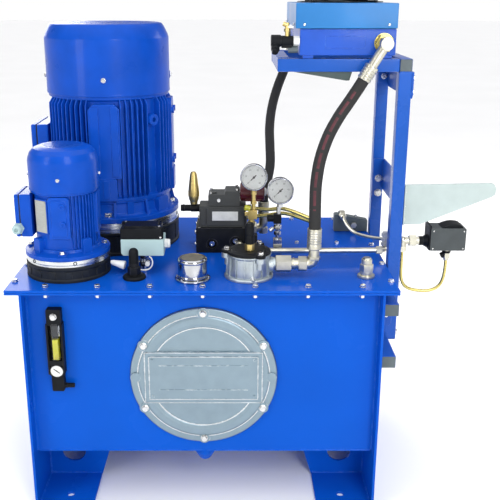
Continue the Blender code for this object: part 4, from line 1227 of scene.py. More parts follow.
def filter_head(x, y):
    """The ribbed cast head with its feet, port, outlet fittings and the hose's lower ferrule."""
    at = (x, y, 0)
    foot = [(0, GAP), (0.058, GAP), (0.058, 0.0052), (0.0545, 0.008), (0.0505, 0.009)]
    foot += [(0.0492, HEAD_TOP - 0.007), (0.051, HEAD_TOP - 0.0048), (0.053, HEAD_TOP - 0.0035)]
    foot += [(0.053, HEAD_TOP), (0, HEAD_TOP)]
    solids = [turned(foot, at, UP, 96)]
    outline = [(0.044, 0.008), (0.0545, 0.008), (0.0528, HEAD_TOP - 0.0035), (0.044, HEAD_TOP - 0.0035)]
    for degrees in range(12, 360, 24):
        if not 70 < degrees < 110:
            solids += rib(outline, 0.0018, at, degrees, 0.0005)
    for degrees in LUGS:
        for radius, low, high, reach, segments in ((0.0125, HEAD_TOP - 0.012, HEAD_TOP, 0.052, 32),
                                                   (0.0085, 0.03, HEAD_TOP - 0.011, 0.049, 24)):
            solids.append(turned(disc(radius, low, high), on_circle(at, reach, degrees, 0), UP, segments))
    for degrees in FOOT_NUTS:
        solids.append(turned(disc(0.01, GAP, 0.009), on_circle(at, 0.048, degrees, 0), UP, 32))
    nuts = bolt_circle(at, 0.049, 10, 3, 0.0088, 0.0058)
    solids += stack((x, y, PORT_Z - 0.003), RIGHT, (0.019, 0.03, 0.058, 48, 0.002))
    port = (x, y, PORT_Z)
    solids += stack(port, RIGHT, (0.015, 0.05, 0.066, 48, 0.001))
    fittings = stack(port, RIGHT, (0.0095, 0.045, 0.066), (0.0205, 0.064, 0.1, 6, 0.0014),
                     (0.0125, 0.1, 0.12, 40), (0.014, 0.104, 0.1075, 40, 0.0006),
                     (0.0185, 0.117, 0.137, 6, 0.0013))
    washer = [(0, 0), (0.0165, 0), (0.0185, 0.0016), (0, 0.0016)]
    fittings.append(turned(washer, (x + 0.0628, y, PORT_Z), RIGHT, 48, 0))
    riser = x + 0.1536
    bend = [(x + 0.136, PORT_Z), (x + 0.142, PORT_Z), (x + 0.15, PORT_Z + 0.0035), (riser, PORT_Z + 0.012)]
    bend += [(riser, 0.06), (riser, 0.0705)]
    fittings.append(bent_pipe([(bend_x, y, bend_z) for bend_x, bend_z in bend], 0.0128, 40))
    fittings += stack((riser, y, 0), UP, (0.015, PORT_Z + 0.01, 0.05, 8, 0.0014))
    crimp = ferrule((0.083, 0.089, 0.095, 0.101, 0.107),
                    ((0.0164, 0), (0.017, 0.0012), (0.017, 0.0032), (0.0164, 0.0044)),
                    [(0.0158, 0.067), (0.017, 0.069), (0.017, 0.079), (0.0163, 0.08)],
                    [(0.017, 0.115), (0.0166, 0.1178)])
    fittings.append(turned(crimp, (riser, y, 0), UP, 56, 0.0004))
    piece("filter_casting", [(bright_casting(), solids), (zinc(), fittings), (steel(), nuts)],
          replaces=("filter_head",))


def filter_lid(at):
    """The head's black cover, whose three lugs carry its bolts."""
    low = HEAD_TOP + GAP
    cover = [(0, low), (0.051, low), (0.052, low + 0.0008), (0.052, 0.064), (0.0495, 0.066)]
    cover += [(0.044, 0.0668), (0.0405, 0.0685), (0.03, 0.0692), (0, 0.0694)]
    solids = [turned(cover, at, UP, 96)]
    for degrees in LUGS:
        solids.append(turned(disc(0.0122, low, 0.0672), on_circle(at, 0.052, degrees, 0), UP, 40, 0.0015))
        solids += round_motor([box((-0.005, -0.052, 0.061), (0.005, -0.025, 0.0688), 0.0015)], at, degrees)
    heads = bolt_circle(at, 0.052, LUGS[0], 3, 0.067, 0.0072)
    piece("filter_lid", [(black_plastic(), solids), (steel(), heads)],
          replaces=("filter_cover",))


def clogging_indicator():
    """A black indicator on a brass hexagon."""
    spot = centre("clogging_indicator")
    at = (spot.x, spot.y, 0)
    hexagon = stack(at, UP, (0.011, 0.0704, 0.086, 6, 0.001), (0.0095, 0.0698, 0.071))
    body = [(0, 0.0855), (0.0098, 0.0855), (0.0105, 0.087), (0.0105, 0.104), (0.0098, 0.105)]
    body += [(0.0098, 0.1075), (0.0105, 0.1085), (0.0105, 0.13), (0.009, 0.135), (0.007, 0.1365), (0, 0.1365)]
    piece("indicator", [(black_plastic(), [turned(body, at, UP, 48)]), (brass(), hexagon)],
          replaces=("clogging_indicator",))


def filter_cup(at):
    """The bowl that hangs in the tank, round its pleated element."""
    low, high = span("filter_bowl")
    radius = (high.x - low.x) / 2
    inner = radius - 0.0055
    bowl = [(radius, low.z + 0.004), (radius, high.z), (inner, high.z), (inner, low.z + 0.008)]
    bowl += [(0, low.z + 0.005), (0, low.z), (radius - 0.006, low.z)]
    levels = [low.z + 0.012 + 0.0075 * step for step in range(32)]
    pleats = [turned(ring(0.024, 0.031, z, z + 0.005), at, UP, 40) for z in levels]
    piece("filter_cup", [(switch_body_black(), [turned(bowl, at, UP, 64)]), (label_plate(), pleats)],
          replaces=("filter_bowl",))


def return_filter():
    """A ribbed cast head with a three-lugged cover, a clogging indicator and its bowl."""
    x, y, _ = centre("filter_bowl")
    filter_head(x, y)
    filter_lid((x, y, 0))
    clogging_indicator()
    filter_cup((x, y, 0))


def level_switch():
    """A pale connection box with a black lid, on the threaded neck of its float rod."""
    x, y, _ = centre("level_switch_float")
    at = (x, y, 0)
    bottom, rim, top = 0.044, 0.085, 0.116
    outline = [(-0.046, bottom), (0.051, bottom), (0.051, rim), (-0.051, rim), (-0.051, bottom + 0.006)]
    case = [shift(prism(outline, 0.064, (0, 0.032, 0), FRONT, 0.0022, 3), at)]
    lid = [box((x - 0.0512, y - 0.0322, rim + 0.0004), (x + 0.045, y + 0.0322, top - 0.004), 0.003)]
    lid.append(box((x - 0.044, y - 0.026, rim + 0.004), (x + 0.038, y + 0.026, top), 0.0035))
    heads = []
    for corner in ((x + 0.0405, y - 0.0215), (x - 0.044, y + 0.0215)):
        lid += stack((*corner, 0), UP, (0.0098, rim, top - 0.0015, 32, 0.0012))
        heads += socket_screw((*corner, top - 0.0045), 0.0048)
    heads += socket_screw((x + 0.044, y - 0.0318, rim + 0.006), 0.003, FRONT)
    gland_at = (x, y, 0.066)
    gland = stack(gland_at, RIGHT, (0.0118, 0.05, 0.058, 6, 0.001))
    dome = [(0, 0.0578), (0.0105, 0.0578), (0.0112, 0.0598), (0.0098, 0.064), (0, 0.064)]
    gland.append(turned(dome, gland_at, RIGHT, 32))
    neck = [(0, -0.302), (0.007, -0.302), (0.007, -0.296), (0.004, -0.296), (0.004, -0.034)]
    neck += [(0.007, -0.034), (0.007, -0.03), (0.004, -0.03), (0.004, 0.0005), (0.014, 0.0005)]
    neck += [(0.014, 0.015), (0.0105, 0.0165)]
    for step in range(9):
        neck += [(0.0105, 0.018 + 0.0028 * step), (0.0094, 0.0194 + 0.0028 * step)]
    neck += [(0.0105, 0.046), (0, 0.046)]
    nuts = stack(at, UP, (0.0165, 0.012, 0.022, 6, 0.001), (0.015, 0.033, 0.042, 6, 0.001))
    piece("level_switch_box", [(switch_grey(), case), (black_plastic(), lid), (steel(), heads),
                               (white_nylon(), gland), (chrome(), [turned(neck, at, UP, 40, 0.0003), *nuts])],
          replaces=("level_switch",))
    middle = centre("level_switch_float").z
    buoy = [turned(ring(0.0046, 0.022, middle - 0.02, middle + 0.02), at, UP, 48, 0.004)]
    piece("level_switch_buoy", [(black_rubber(), buoy)], body="float",
          replaces=("level_switch_float",))


def level_switch_sleeve():
    """A white sleeve on the switch's wire, tied with a loop of nylon."""
    cone = [(0, 0), (0.004, 0), (0.0062, 0.006), (0.0105, 0.034), (0.0095, 0.036), (0, 0.036)]
    sleeve = [turned(cone, (-0.2225, 0.12, 0.029), (1, -0.18, -0.2), 40)]
    route = [(-0.13, 0.117, 0.0435), (-0.1255, 0.116, 0.04), (-0.1225, 0.116, 0.031), (-0.124, 0.115, 0.021),
             (-0.131, 0.114, 0.013), (-0.142, 0.113, 0.0105), (-0.153, 0.113, 0.0115)]
    tie = [bent_pipe(route, 0.0017, 16), *stack((-0.135, 0, 0.024), BACK, (0.0058, 0.116, 0.128, 28, 0.0015))]
    piece("level_switch_tie", [(white_nylon(), sleeve + tie)])


def temperature_sensor():
    """A black dome over a hexagon on a round foot."""
    x, y, _ = centre("temperature_sensor")
    at = (x, y, 0)
    base = [(0, GAP), (0.027, GAP), (0.027, 0.005), (0.0245, 0.0085), (0.016, 0.009), (0, 0.009)]
    dome = [(0, 0.028), (0.0115, 0.028), (0.0115, 0.062), (0.0106, 0.068), (0.008, 0.072), (0.004, 0.074)]
    dome += [(0, 0.074)]
    rings = [turned(ring(0.01, 0.012, z, z + 0.0022), at, UP, 40, 0.0006) for z in (0.031, 0.0355)]
    solids = [turned(base, at, UP, 56), turned(dome, at, UP, 56), *rings]
    hexagon = stack(at, UP, (0.0155, 0.0085, 0.0285, 6, 0.0012))
    piece("temperature_sensor_body", [(black_plastic(), solids), (phosphate(), hexagon)],
          replaces=("temperature_sensor",))


# Valves and gauges


def threaded_plug(at, aim, radius):
    """A round plug with its hexagon socket, seated in a port."""
    profile = [(0, 0.0015), (0.26 * radius, 0.0015), (0.28 * radius, 0.005), (0.5 * radius, 0.005)]
    profile += [(0.56 * radius, 0.004), (0.56 * radius, 0), (0, 0)]
    return turned(profile, at, aim, 32, 0.0003)


def manifold():
    """The black manifold with its ports, plugs and bolts, and the rear hose's elbow and ferrule."""
    low, high = Vector((-0.026, 0.278, GAP)), Vector((0.107, 0.398, 0.067))
    radius = 0.0135
    cutters, plugs, collars, screws = [], [], [], []
    for x, z in ((0.015, 0.0229), (0.076, 0.0297)):
        cutters += stack((x, low.y, z), BACK, (radius, -0.01, 0.012, 48, 0))
        mouth = [(0, 0), (radius + 0.003, 0), (radius, 0.004), (0, 0.004)]
        cutters.append(turned(mouth, (x, low.y - 0.001, z), BACK, 48, 0))
        plugs.append(threaded_plug((x, low.y + 0.0118, z), FRONT, radius))
        collar = ring(radius - 0.0022, radius + 0.0012, 0, 0.0016)
        collars.append(turned(collar, (x, low.y + 0.0012, z), FRONT))
    for x in (low.x + 0.01, high.x - 0.01):
        cutters += stack((x, low.y + 0.0075, high.z), UP, (0.0058, -0.006, 0.01, 24, 0))
        screws += socket_screw((x, low.y + 0.0075, high.z - 0.0064), 0.006)
    for y in (0.2995, 0.3765):
        for z in (0.017, 0.05):
            plugs.append(threaded_plug((low.x + 0.0005, y, z), LEFT, 0.0105))
    block = carved(box(low, high, 0.0012), *cutters)
    elbow_x, elbow_y, elbow_z = 0.15, 0.366, 0.042
    fittings = stack((0, elbow_y, elbow_z), RIGHT, (0.0165, high.x - 0.002, 0.132, 6, 0.0012))
    bend = [(0.126, elbow_z), (0.134, elbow_z), (0.146, 0.046)]
    bend += [(elbow_x, height) for height in (0.056, 0.07, 0.079)]
    fittings.append(bent_pipe([(x, elbow_y, z) for x, z in bend], 0.0118, 32))
    fittings += stack((elbow_x, elbow_y, 0), UP, (0.0125, 0.029, 0.045))
    crimp = ferrule((0.082, 0.088, 0.094, 0.1),
                    ((0.0155, 0), (0.0149, 0.001), (0.0149, 0.0026), (0.0155, 0.0036)),
                    [(0.0148, 0.075), (0.0155, 0.0765)], [(0.0155, 0.115), (0.015, 0.116)])
    fittings.append(turned(crimp, (elbow_x, elbow_y, 0), UP, 48, 0.0004))
    piece("manifold_block", [(phosphate(), [block, *collars]), (steel(), plugs + screws), (zinc(), fittings)],
          replaces=("valve_manifold",))


def directional_valve():
    """The grey sandwich valve with its blank label, the stepped valve on it and its side fitting."""
    middle = [box((-0.017, 0.284, 0.0673), (0.1027, 0.348, 0.1225), 0.001)]
    middle.append(box((0.002, 0.2812, 0.0725), (0.098, 0.286, 0.118), 0.0012))
    middle.append(box((-0.014, 0.2828, 0.0725), (-0.002, 0.286, 0.118), 0.001))
    label = [box((0.016, 0.2804, 0.086), (0.082, 0.2814, 0.11), 0.0003)]
    outline = [(0.006, 0.1228), (0.087, 0.1228), (0.087, 0.158), (0.0835, 0.1615), (0.05, 0.1615)]
    outline += [(0.0475, 0.153), (0.011, 0.153), (0.006, 0.15)]
    upper = [wall(outline, 0.286, 0.35, 0.0014)]
    upper += stack((0.02, 0.305, 0), UP, (0.007, 0.152, 0.1565, 24, 0.001))
    dots = socket_screw((0.033, 0.2862, 0.1385), 0.0052, FRONT)
    heads = []
    for x, z in ((0.013, 0.1528), (0.079, 0.1613)):
        for y in (0.295, 0.34):
            heads += socket_screw((x, y, z), 0.0045)
    tee = stack((0, 0.312, 0.1118), LEFT, (0.01, 0.015, 0.04, 40, 0.001), (0.0105, 0.029, 0.039, 8, 0.0012),
                (0.0085, 0.038, 0.066, 32, 0.0012), (0.0093, 0.056, 0.0605, 32, 0.0006))
    plug = stack((0, 0.29, 0.094), LEFT, (0.005, 0.0165, 0.0215, 6))
    piece("directional_valve", [(valve_grey(), middle + upper), (label_plate(), label), (white_nylon(), dots),
                                (steel(), heads + plug), (black_plastic(), tee)],
          replaces=("control_valve",))


def solenoid():
    """The maroon coil at the valve's right end, and the nut that holds it."""
    y, z = 0.31, 0.155
    profile = [(0, 0), (0.0215, 0), (0.0235, 0.002), (0.0235, 0.06), (0.0215, 0.0627), (0, 0.0627)]
    coil = [turned(profile, (0.0873, y, z), RIGHT, 64, 0.0015)]
    coil.append(box((0.1, y - 0.018, 0.133), (0.138, y + 0.018, 0.1762), 0.003))
    nut = stack((0, y, z), RIGHT, (0.01, 0.1495, 0.1545, 28), (0.006, 0.154, 0.158, 24))
    piece("solenoid", [(maroon(), coil), (white_nylon(), nut)],
          replaces=("solenoid_coil",))


def relief_valve():
    """A tapered brass knob with notches round its widest part."""
    x, y, _ = centre("relief_valve_knob")
    cone = [(0, 0.1228), (0.0095, 0.1228), (0.0098, 0.129), (0.0124, 0.135), (0.014, 0.144), (0.014, 0.156)]
    cone += [(0.013, 0.168), (0.0115, 0.18), (0.01, 0.192), (0.0088, 0.201), (0.006, 0.207), (0, 0.2078)]
    solids = [turned(cone, (x, y, 0), UP, 56)]
    for degrees in range(0, 360, 20):
        notch = box((-0.0007, -0.0145, 0.143), (0.0007, -0.0128, 0.157), 0.0004)
        solids += round_motor([notch], (x, y), degrees)
    piece("relief_valve", [(brass(), solids)], body="relief_knob",
          replaces=("relief_valve_knob",))


def valve_stack():
    manifold()
    directional_valve()
    solenoid()
    relief_valve()


def flat_mark(low, high):
    """A printed bar between two (x, z) corners, just proud of a dial."""
    return box((low[0], -0.00012, low[1]), (high[0], 0.00005, high[1]), 0)


def numeral(digit, height, stroke):
    """A plain seven-bar digit as flat bars facing the front, its middle on the origin."""
    bars = {"0": "abcdef", "1": "bc", "2": "abged", "3": "abgcd", "4": "fgbc", "5": "afgcd"}
    half_w, half_h = 0.26 * height, 0.5 * height
    ends = {"a": ((-half_w, half_h), (half_w, half_h)), "b": ((half_w, 0), (half_w, half_h)),
            "c": ((half_w, -half_h), (half_w, 0)), "d": ((-half_w, -half_h), (half_w, -half_h)),
            "e": ((-half_w, -half_h), (-half_w, 0)), "f": ((-half_w, 0), (-half_w, half_h)),
            "g": ((-half_w, 0), (half_w, 0))}
    thick = stroke / 2
    solids = []
    for letter in bars[digit]:
        (low_x, low_z), (high_x, high_z) = ends[letter]
        solids.append(flat_mark((low_x - thick, low_z - thick), (high_x + thick, high_z + thick)))
    return solids


def gauge_face(x, y, z, radius):
    """Ticks and round numbers over a three-quarter turn, from lower left to lower right."""
    marks = []
    for step in range(51):
        inner = radius * (0.86 if step % 10 == 0 else 0.9 if step % 5 == 0 else 0.93)
        half = 0.000225 if step % 10 == 0 else 0.00011
        tick = flat_mark((inner, -half), (radius * 0.97, half))
        marks.append(on_dial(tick, 270 * step / 50 - 225, (x, y, z)))
    for step in range(6):
        angle = math.radians(225 - 54 * step)
        text = str(10 * step)
        for index, digit in enumerate(text):
            offset = (index - (len(text) - 1) / 2) * 0.0027
            place = (x + 0.7 * radius * math.cos(angle) + offset, y, z + 0.7 * radius * math.sin(angle))
            marks += [shift(bar, place) for bar in numeral(digit, 0.0034, 0.0004)]
    return marks


def pressure_gauge(node, x, z, fittings):
    """A bottom-entry gauge: a bezel over a dial under glass."""
    front = span(node)[0].y
    cup = [(0, -0.028), (0.029, -0.028), (0.0315, -0.0265), (0.032, -0.024), (0.032, -0.0085)]
    cup += [(0.034, -0.007), (0.034, -0.0022), (0.0325, -0.0004), (0.0312, 0.0), (0.0302, -0.0014)]
    cup += [(0.0298, -0.0072), (0, -0.0072)]
    solids = [turned(cup, (x, front, z), FRONT, 96, 0.0005)]
    dial = [turned(disc(0.0297, 0, 0.0004), (x, front + 0.007, z), FRONT, 64, 0)]
    marks = gauge_face(x, front + 0.0065, z, 0.029)
    piece(node + "_case", [(chrome(), solids), (dial_white(), dial), (print_black(), marks), *fittings],
          replaces=(node,))
    pane = [turned(disc(0.03, 0, 0.0008), (x, front + 0.0024, z), FRONT, 64, 0)]
    piece(node + "_pane", [(glass("gauge_pane", (0.97, 0.98, 0.98)), pane)])
    hand = [(-0.0014, -0.008), (0.0014, -0.008), (0.0013, 0.0085), (0.0004, 0.011), (0.0003, 0.0225)]
    hand += [(-0.0003, 0.0225), (-0.0004, 0.011), (-0.0013, 0.0085)]
    needle = on_dial(prism(hand, 0.0005, aim=FRONT, edge=0), -135, (x, front + 0.0049, z))
    hub = turned(disc(0.003, 0, 0.002), (x, front + 0.0056, z), FRONT, 28, 0.0004)
    piece(node + "_hand", [(print_black(), [needle, hub])], body="gauge_" + node[-1] + "_needle",
          replaces=(node + "_pointer",))


STEM_Y = 0.25


def first_gauge():
    """The left gauge on a brass block with a green isolator knob."""
    x, z = 0.121, 0.208
    gauge, side = (x, STEM_Y, z), (x - 0.005, STEM_Y, z)
    brassy = stack(gauge, DOWN, (0.007, 0.032, 0.046, 6), (0.005, 0.044, 0.09, 28), (0.008, 0.062, 0.07, 6))
    brassy.append(box((x - 0.0135, STEM_Y - 0.01, z - 0.108), (x + 0.009, STEM_Y + 0.01, z - 0.084), 0.0012))
    brassy += stack((x, STEM_Y, z - 0.096), LEFT, (0.006, 0.0135, 0.022, 6))
    brassy += stack(side, DOWN, (0.0058, 0.106, 0.15, 28), (0.0095, 0.113, 0.126, 6))
    knob_end = (x - 0.023, STEM_Y - 0.012, z - 0.076)
    knob = rod(0.007, (x - 0.009, STEM_Y - 0.01, z - 0.079), knob_end, 28, 0.002)
    foot = box((x - 0.0135, STEM_Y - 0.012, z - 0.2075), (x + 0.01, STEM_Y + 0.012, z - 0.148), 0.0014)
    fittings = [(brass(), brassy), (green_seal(), [knob]), (phosphate(), [foot])]
    pressure_gauge("pressure_gauge_1", x, z, fittings)


def second_gauge():
    """The right gauge on a bright stem with a black isolator."""
    x, z = 0.187, 0.174
    bright = stack((x, STEM_Y, z), DOWN, (0.0075, 0.032, 0.044, 6))
    bright.append(rod(0.0055, (x - 0.003, STEM_Y, z - 0.042), (x - 0.005, STEM_Y, z - 0.13), 28))
    bright += stack((x - 0.005, STEM_Y, z), DOWN, (0.01, 0.09, 0.101, 6), (0.009, 0.107, 0.116, 6))
    bright.append(rod(0.005, (x - 0.016, STEM_Y, z - 0.098), (x - 0.025, STEM_Y - 0.005, z - 0.105), 24))
    foot_low, foot_high = (x - 0.016, STEM_Y - 0.012, z - 0.1735), (x + 0.006, STEM_Y + 0.012, z - 0.126)
    bright.append(box(foot_low, foot_high, 0.0014))
    dark = [box((x - 0.016, STEM_Y - 0.009, z - 0.085), (x + 0.004, STEM_Y + 0.009, z - 0.061), 0.0012)]
    dark += stack((x, STEM_Y, z - 0.073), LEFT, (0.009, 0.015, 0.032, 12, 0.0016))
    pressure_gauge("pressure_gauge_2", x, z, [(chrome(), bright), (black_plastic(), dark)])


def gauge_lines():
    """The two yellow lines that run from the valve, behind the gauges, down to the lid."""
    upper = [(0.109, 0.29, 0.118), (0.125, 0.292, 0.116), (0.16, 0.31, 0.108), (0.205, 0.33, 0.104),
             (0.266, 0.335, 0.08), (0.288, 0.337, 0.068), (0.2945, 0.338, 0.052), (0.295, 0.338, 0.02),
             (0.295, 0.338, 0.0006)]
    lower = [(0.109, 0.3, 0.092), (0.125, 0.302, 0.092), (0.16, 0.32, 0.09), (0.205, 0.345, 0.088),
             (0.262, 0.355, 0.068), (0.285, 0.36, 0.054), (0.293, 0.362, 0.038), (0.295, 0.362, 0.02),
             (0.295, 0.362, 0.0006)]
    lines = [bent_pipe(route, 0.005, 20) for route in (upper, lower)]
    nuts = [rod(0.0085, (0.103, 0.29, 0.118), (0.116, 0.291, 0.1178), 6)]
    nuts.append(rod(0.0085, (0.103, 0.3, 0.092), (0.116, 0.301, 0.092), 6))
    for route in (upper, lower):
        nuts += stack(route[-1], UP, (0.009, 0, 0.0134, 6))
    piece("gauge_lines", [(yellow_zinc(), lines), (zinc(), nuts)])


def gauges():
    first_gauge()
    second_gauge()
    gauge_lines()


# Pipes and the pressure switch


def return_line():
    """The thick zinc line along the lid, and the fittings that stand at its right end."""
    low, high = span("return_pipe")
    z = (low.z + high.z) / 2
    start_x, end_x, end_y = 0.085, 0.446, 0.227
    route = [(start_x, 0.2777), (start_x, 0.2637), (0.092, 0.238), (0.118, 0.224), (0.16, 0.222)]
    route += [(0.3, 0.222), (0.43, end_y), (end_x, end_y)]
    line = [bent_pipe([(x, y, z) for x, y in route], 0.007, 28)]
    line += stack((start_x, 0, z), BACK, (0.0105, 0.266, 0.2775, 6))
    line += stack((0, end_y, z), RIGHT, (0.0105, 0.43, 0.4455, 6))
    piece("return_line", [(zinc(), line)], replaces=("return_pipe",))

    x, y = 0.456, 0.25
    bend = [(0.445, end_y), (0.4475, 0.2275), (0.452, 0.231), (0.455, 0.237), (x, 0.243), (x, y)]
    elbow = bent_pipe([(bend_x, bend_y, z) for bend_x, bend_y in bend], 0.006, 24)
    tower = []
    for step in range(4):
        base = (x, y, 0.018 + 0.012 * step)
        tower += stack(base, UP, (0.0102, 0, 0.0085, 6, 0.001), (0.0072, 0.008, 0.0125, 28))
    # The zinc stack takes the pale, mostly matt label finish so that it shows bright: painted highlight for
    # the light its hexagons reflect.
    piece("test_fittings", [(zinc(), [elbow]), (label_plate(), tower)])


def pressure_line():
    """The thin zinc line from the sloped block at the back to the pressure switch."""
    route = [(0.376, 0.48, 0.05), (0.377, 0.44, 0.045), (0.38, 0.39, 0.041), (0.39, 0.33, 0.04),
             (0.413, 0.292, 0.041), (0.445, 0.262, 0.044), (0.466, 0.243, 0.047), (0.478, 0.232, 0.048),
             (0.487, 0.232, 0.048)]
    piece("pressure_line", [(zinc(), [bent_pipe(route, 0.0045, 24)])],
          replaces=("pressure_pipe",))

    outline = [(0.354, 0.0004), (0.448, 0.0004), (0.448, 0.033), (0.362, 0.0505), (0.354, 0.049)]
    block = [wall(outline, 0.475, 0.502, 0.0018)]
    elbow = [rod(0.01, (0.376, 0.4745, 0.05), (0.376, 0.46, 0.048), 6)]
    elbow.append(rod(0.0075, (0.376, 0.461, 0.0485), (0.3765, 0.448, 0.0462), 28))
    elbow += stack((0.376, 0.49, 0), UP, (0.01, 0.046, 0.056, 6))
    elbow += stack((0.408, 0, 0.02), BACK, (0.009, 0.466, 0.4745, 6))
    heads = socket_screw((0.415, 0.4885, 0.04), 0.005, (0.2, 0, 0.98))
    piece("line_block", [(cap_grey(), block), (zinc(), elbow), (steel(), heads)])


def lid_plug():
    """A hexagon plug on a round foot, near the lid's front right corner."""
    plug = stack((0.385, 0.094, 0), UP, (0.016, 0.014, 0.033, 6, 0.0013), (0.0205, 0.0003, 0.007, 40, 0.0012),
                 (0.015, 0.006, 0.015, 40, 0.0006), (0.0125, 0.032, 0.046, 40, 0.002),
                 (0.01, 0.045, 0.049, 6, 0.0008))
    piece("lid_plug", [(zinc(), plug)])


SWITCH_Y, SWITCH_Z = 0.232, 0.048
ELBOW_X, OUTLET_X = 0.4965, 0.609


def pressure_switch():
    """A boxed switch on an elbow, with a loop of thin tube from under the box to the elbow."""
    y, z = SWITCH_Y, SWITCH_Z
    outline = rounded_box_outline((0.56, 0.0295), (0.648, 0.087), 0.0035)
    case = [wall(outline, y - 0.028, y + 0.028, 0.0016)]
    crown = [(0.585, 0.086), (0.596, 0.0915), (0.608, 0.0955), (0.618, 0.0965), (0.63, 0.0955)]
    crown += [(0.639, 0.0925), (0.643, 0.086)]
    axis, outlet = (0, y, z), (OUTLET_X, y, 0)
    dark = [box((0.557, y - 0.0275, 0.03), (0.5615, y + 0.0275, 0.094), 0.0012)]
    dark.append(wall(crown, y - 0.022, y + 0.022, 0.002))
    dark += stack(axis, RIGHT, (0.0115, 0.537, 0.56, 40, 0.001))
    cone = [(0, 0), (0.0115, 0), (0.017, 0.01), (0.017, 0.0135), (0, 0.0135)]
    dark.append(turned(cone, (0.5465, y, z), RIGHT, 40))
    dark += stack(outlet, UP, (0.0112, 0.0165, 0.0225, 6, 0.001))
    dark.append(rod(0.007, (OUTLET_X - 0.003, y, 0.014), (OUTLET_X - 0.0145, y, 0.0085), 24, 0.0015))
    bright = stack(axis, RIGHT, (0.0092, 0.53, 0.54, 36))
    for x in (0.5665, 0.6415):
        for screw_z in (0.036, 0.0805):
            bright += socket_screw((x, y - 0.0276, screw_z), 0.0022, FRONT)
    fittings = stack(axis, RIGHT, (0.0145, 0.512, 0.53, 6, 0.0012), (0.01, 0.529, 0.537),
                     (0.0088, ELBOW_X - 0.003, 0.5135, 32, 0.0015))
    elbow = [(0, 0), (0.0092, 0), (0.0092, 0.018), (0.007, 0.024), (0, 0.025)]
    fittings.append(turned(elbow, (ELBOW_X, y, z - 0.015), UP, 32))
    fittings += stack((ELBOW_X, y, 0), UP, (0.0108, 0.0204, z - 0.014, 6, 0.001))
    fittings += stack(outlet, UP, (0.009, 0.0225, 0.031), (0.0098, 0.002, 0.017, 6, 0.001),
                      (0.0062, -0.0028, 0.002, 28))
    piece("pressure_switch_body", [(switch_body_black(), case), (black_plastic(), dark), (steel(), bright),
                                   (zinc(), fittings)],
          replaces=("pressure_switch",))


def drain_loop():
    """The thin yellow loop under the pressure switch."""
    route = [(OUTLET_X, -0.0034), (OUTLET_X, -0.025), (0.605, -0.055), (0.594, -0.075), (0.572, -0.0855)]
    route += [(0.543, -0.0855), (0.516, -0.078), (0.501, -0.06), (0.497, -0.03), (ELBOW_X, 0.0201)]
    loop = bent_pipe([(x, SWITCH_Y, z) for x, z in route], 0.004, 24)
    piece("drain_loop", [(yellow_zinc(), [loop])], replaces=("drain_tube",))


# Cooler and its frame


POST_FACE = 0.484
ARM_X = POST_FACE + GAP
TUBE = 0.03
TUBE_EDGE = 0.0022


def frame_tubes():
    """The square tubes of the frame and the end caps in them."""
    tubes, caps = [], []

    def cap(low, high):
        caps.append(box(low, high, 0.0012))

    for node in ("frame_rail_upper", "frame_rail_lower"):
        low, high = span(node)
        tubes.append(box(low + Vector((0, 0.0012, 0)), high - Vector((0, 0.0012, 0)), TUBE_EDGE))
        for y in (low.y, high.y - 0.003):
            cap((low.x + 0.001, y, low.z + 0.001), (high.x - 0.001, y + 0.003, high.z - 0.001))
        z = (low.z + high.z) / 2
        for y in (0.2, 0.485):
            start, end = (high.x - 0.0006, y - 0.013, z - 0.013), (high.x + 0.0004, y + 0.013, z + 0.013)
            tubes.append(box(start, end, 0))
    for node in ("frame_post_front", "frame_post_rear"):
        low, high = span(node)
        tubes.append(box(low + Vector((0, 0, 0.0012)), high, TUBE_EDGE))
        cap((low.x + 0.001, low.y + 0.001, low.z), (high.x - 0.001, high.y - 0.001, low.z + 0.003))
    low, high = span("frame_top")
    right = high.x - TUBE
    for y in (low.y, high.y - TUBE):
        tubes.append(box((low.x, y, low.z), (right - GAP, y + TUBE, high.z), TUBE_EDGE))
    for x, inset in ((low.x + 0.0003, TUBE), (right, 0.0012)):
        tubes.append(box((x, low.y + inset, low.z), (x + TUBE, high.y - inset, high.z), TUBE_EDGE))
    for y in (low.y, high.y - 0.003):
        cap((right + 0.001, y, low.z + 0.001), (high.x - 0.001, y + 0.003, high.z - 0.001))
    for y in (low.y + 0.0015, low.y + TUBE - 0.0015, high.y - TUBE + 0.0015, high.y - 0.0015):
        tubes.append(bead((right + 0.002, y, low.z - 0.0004), (high.x - 0.002, y, low.z - 0.0004), 0.0018))
    for y in (low.y + TUBE, high.y - TUBE):
        start, end = (low.x + 0.002, y, high.z - 0.001), (low.x + TUBE - 0.002, y, high.z - 0.001)
        tubes.append(bead(start, end, 0.0018))
    return tubes, caps


def side_plate(outline, thickness, face):
    """A plate on the posts' right side, with an outline of (y, z) points."""
    return prism([(z, y) for y, z in outline], thickness, (face, 0, 0), LEFT)


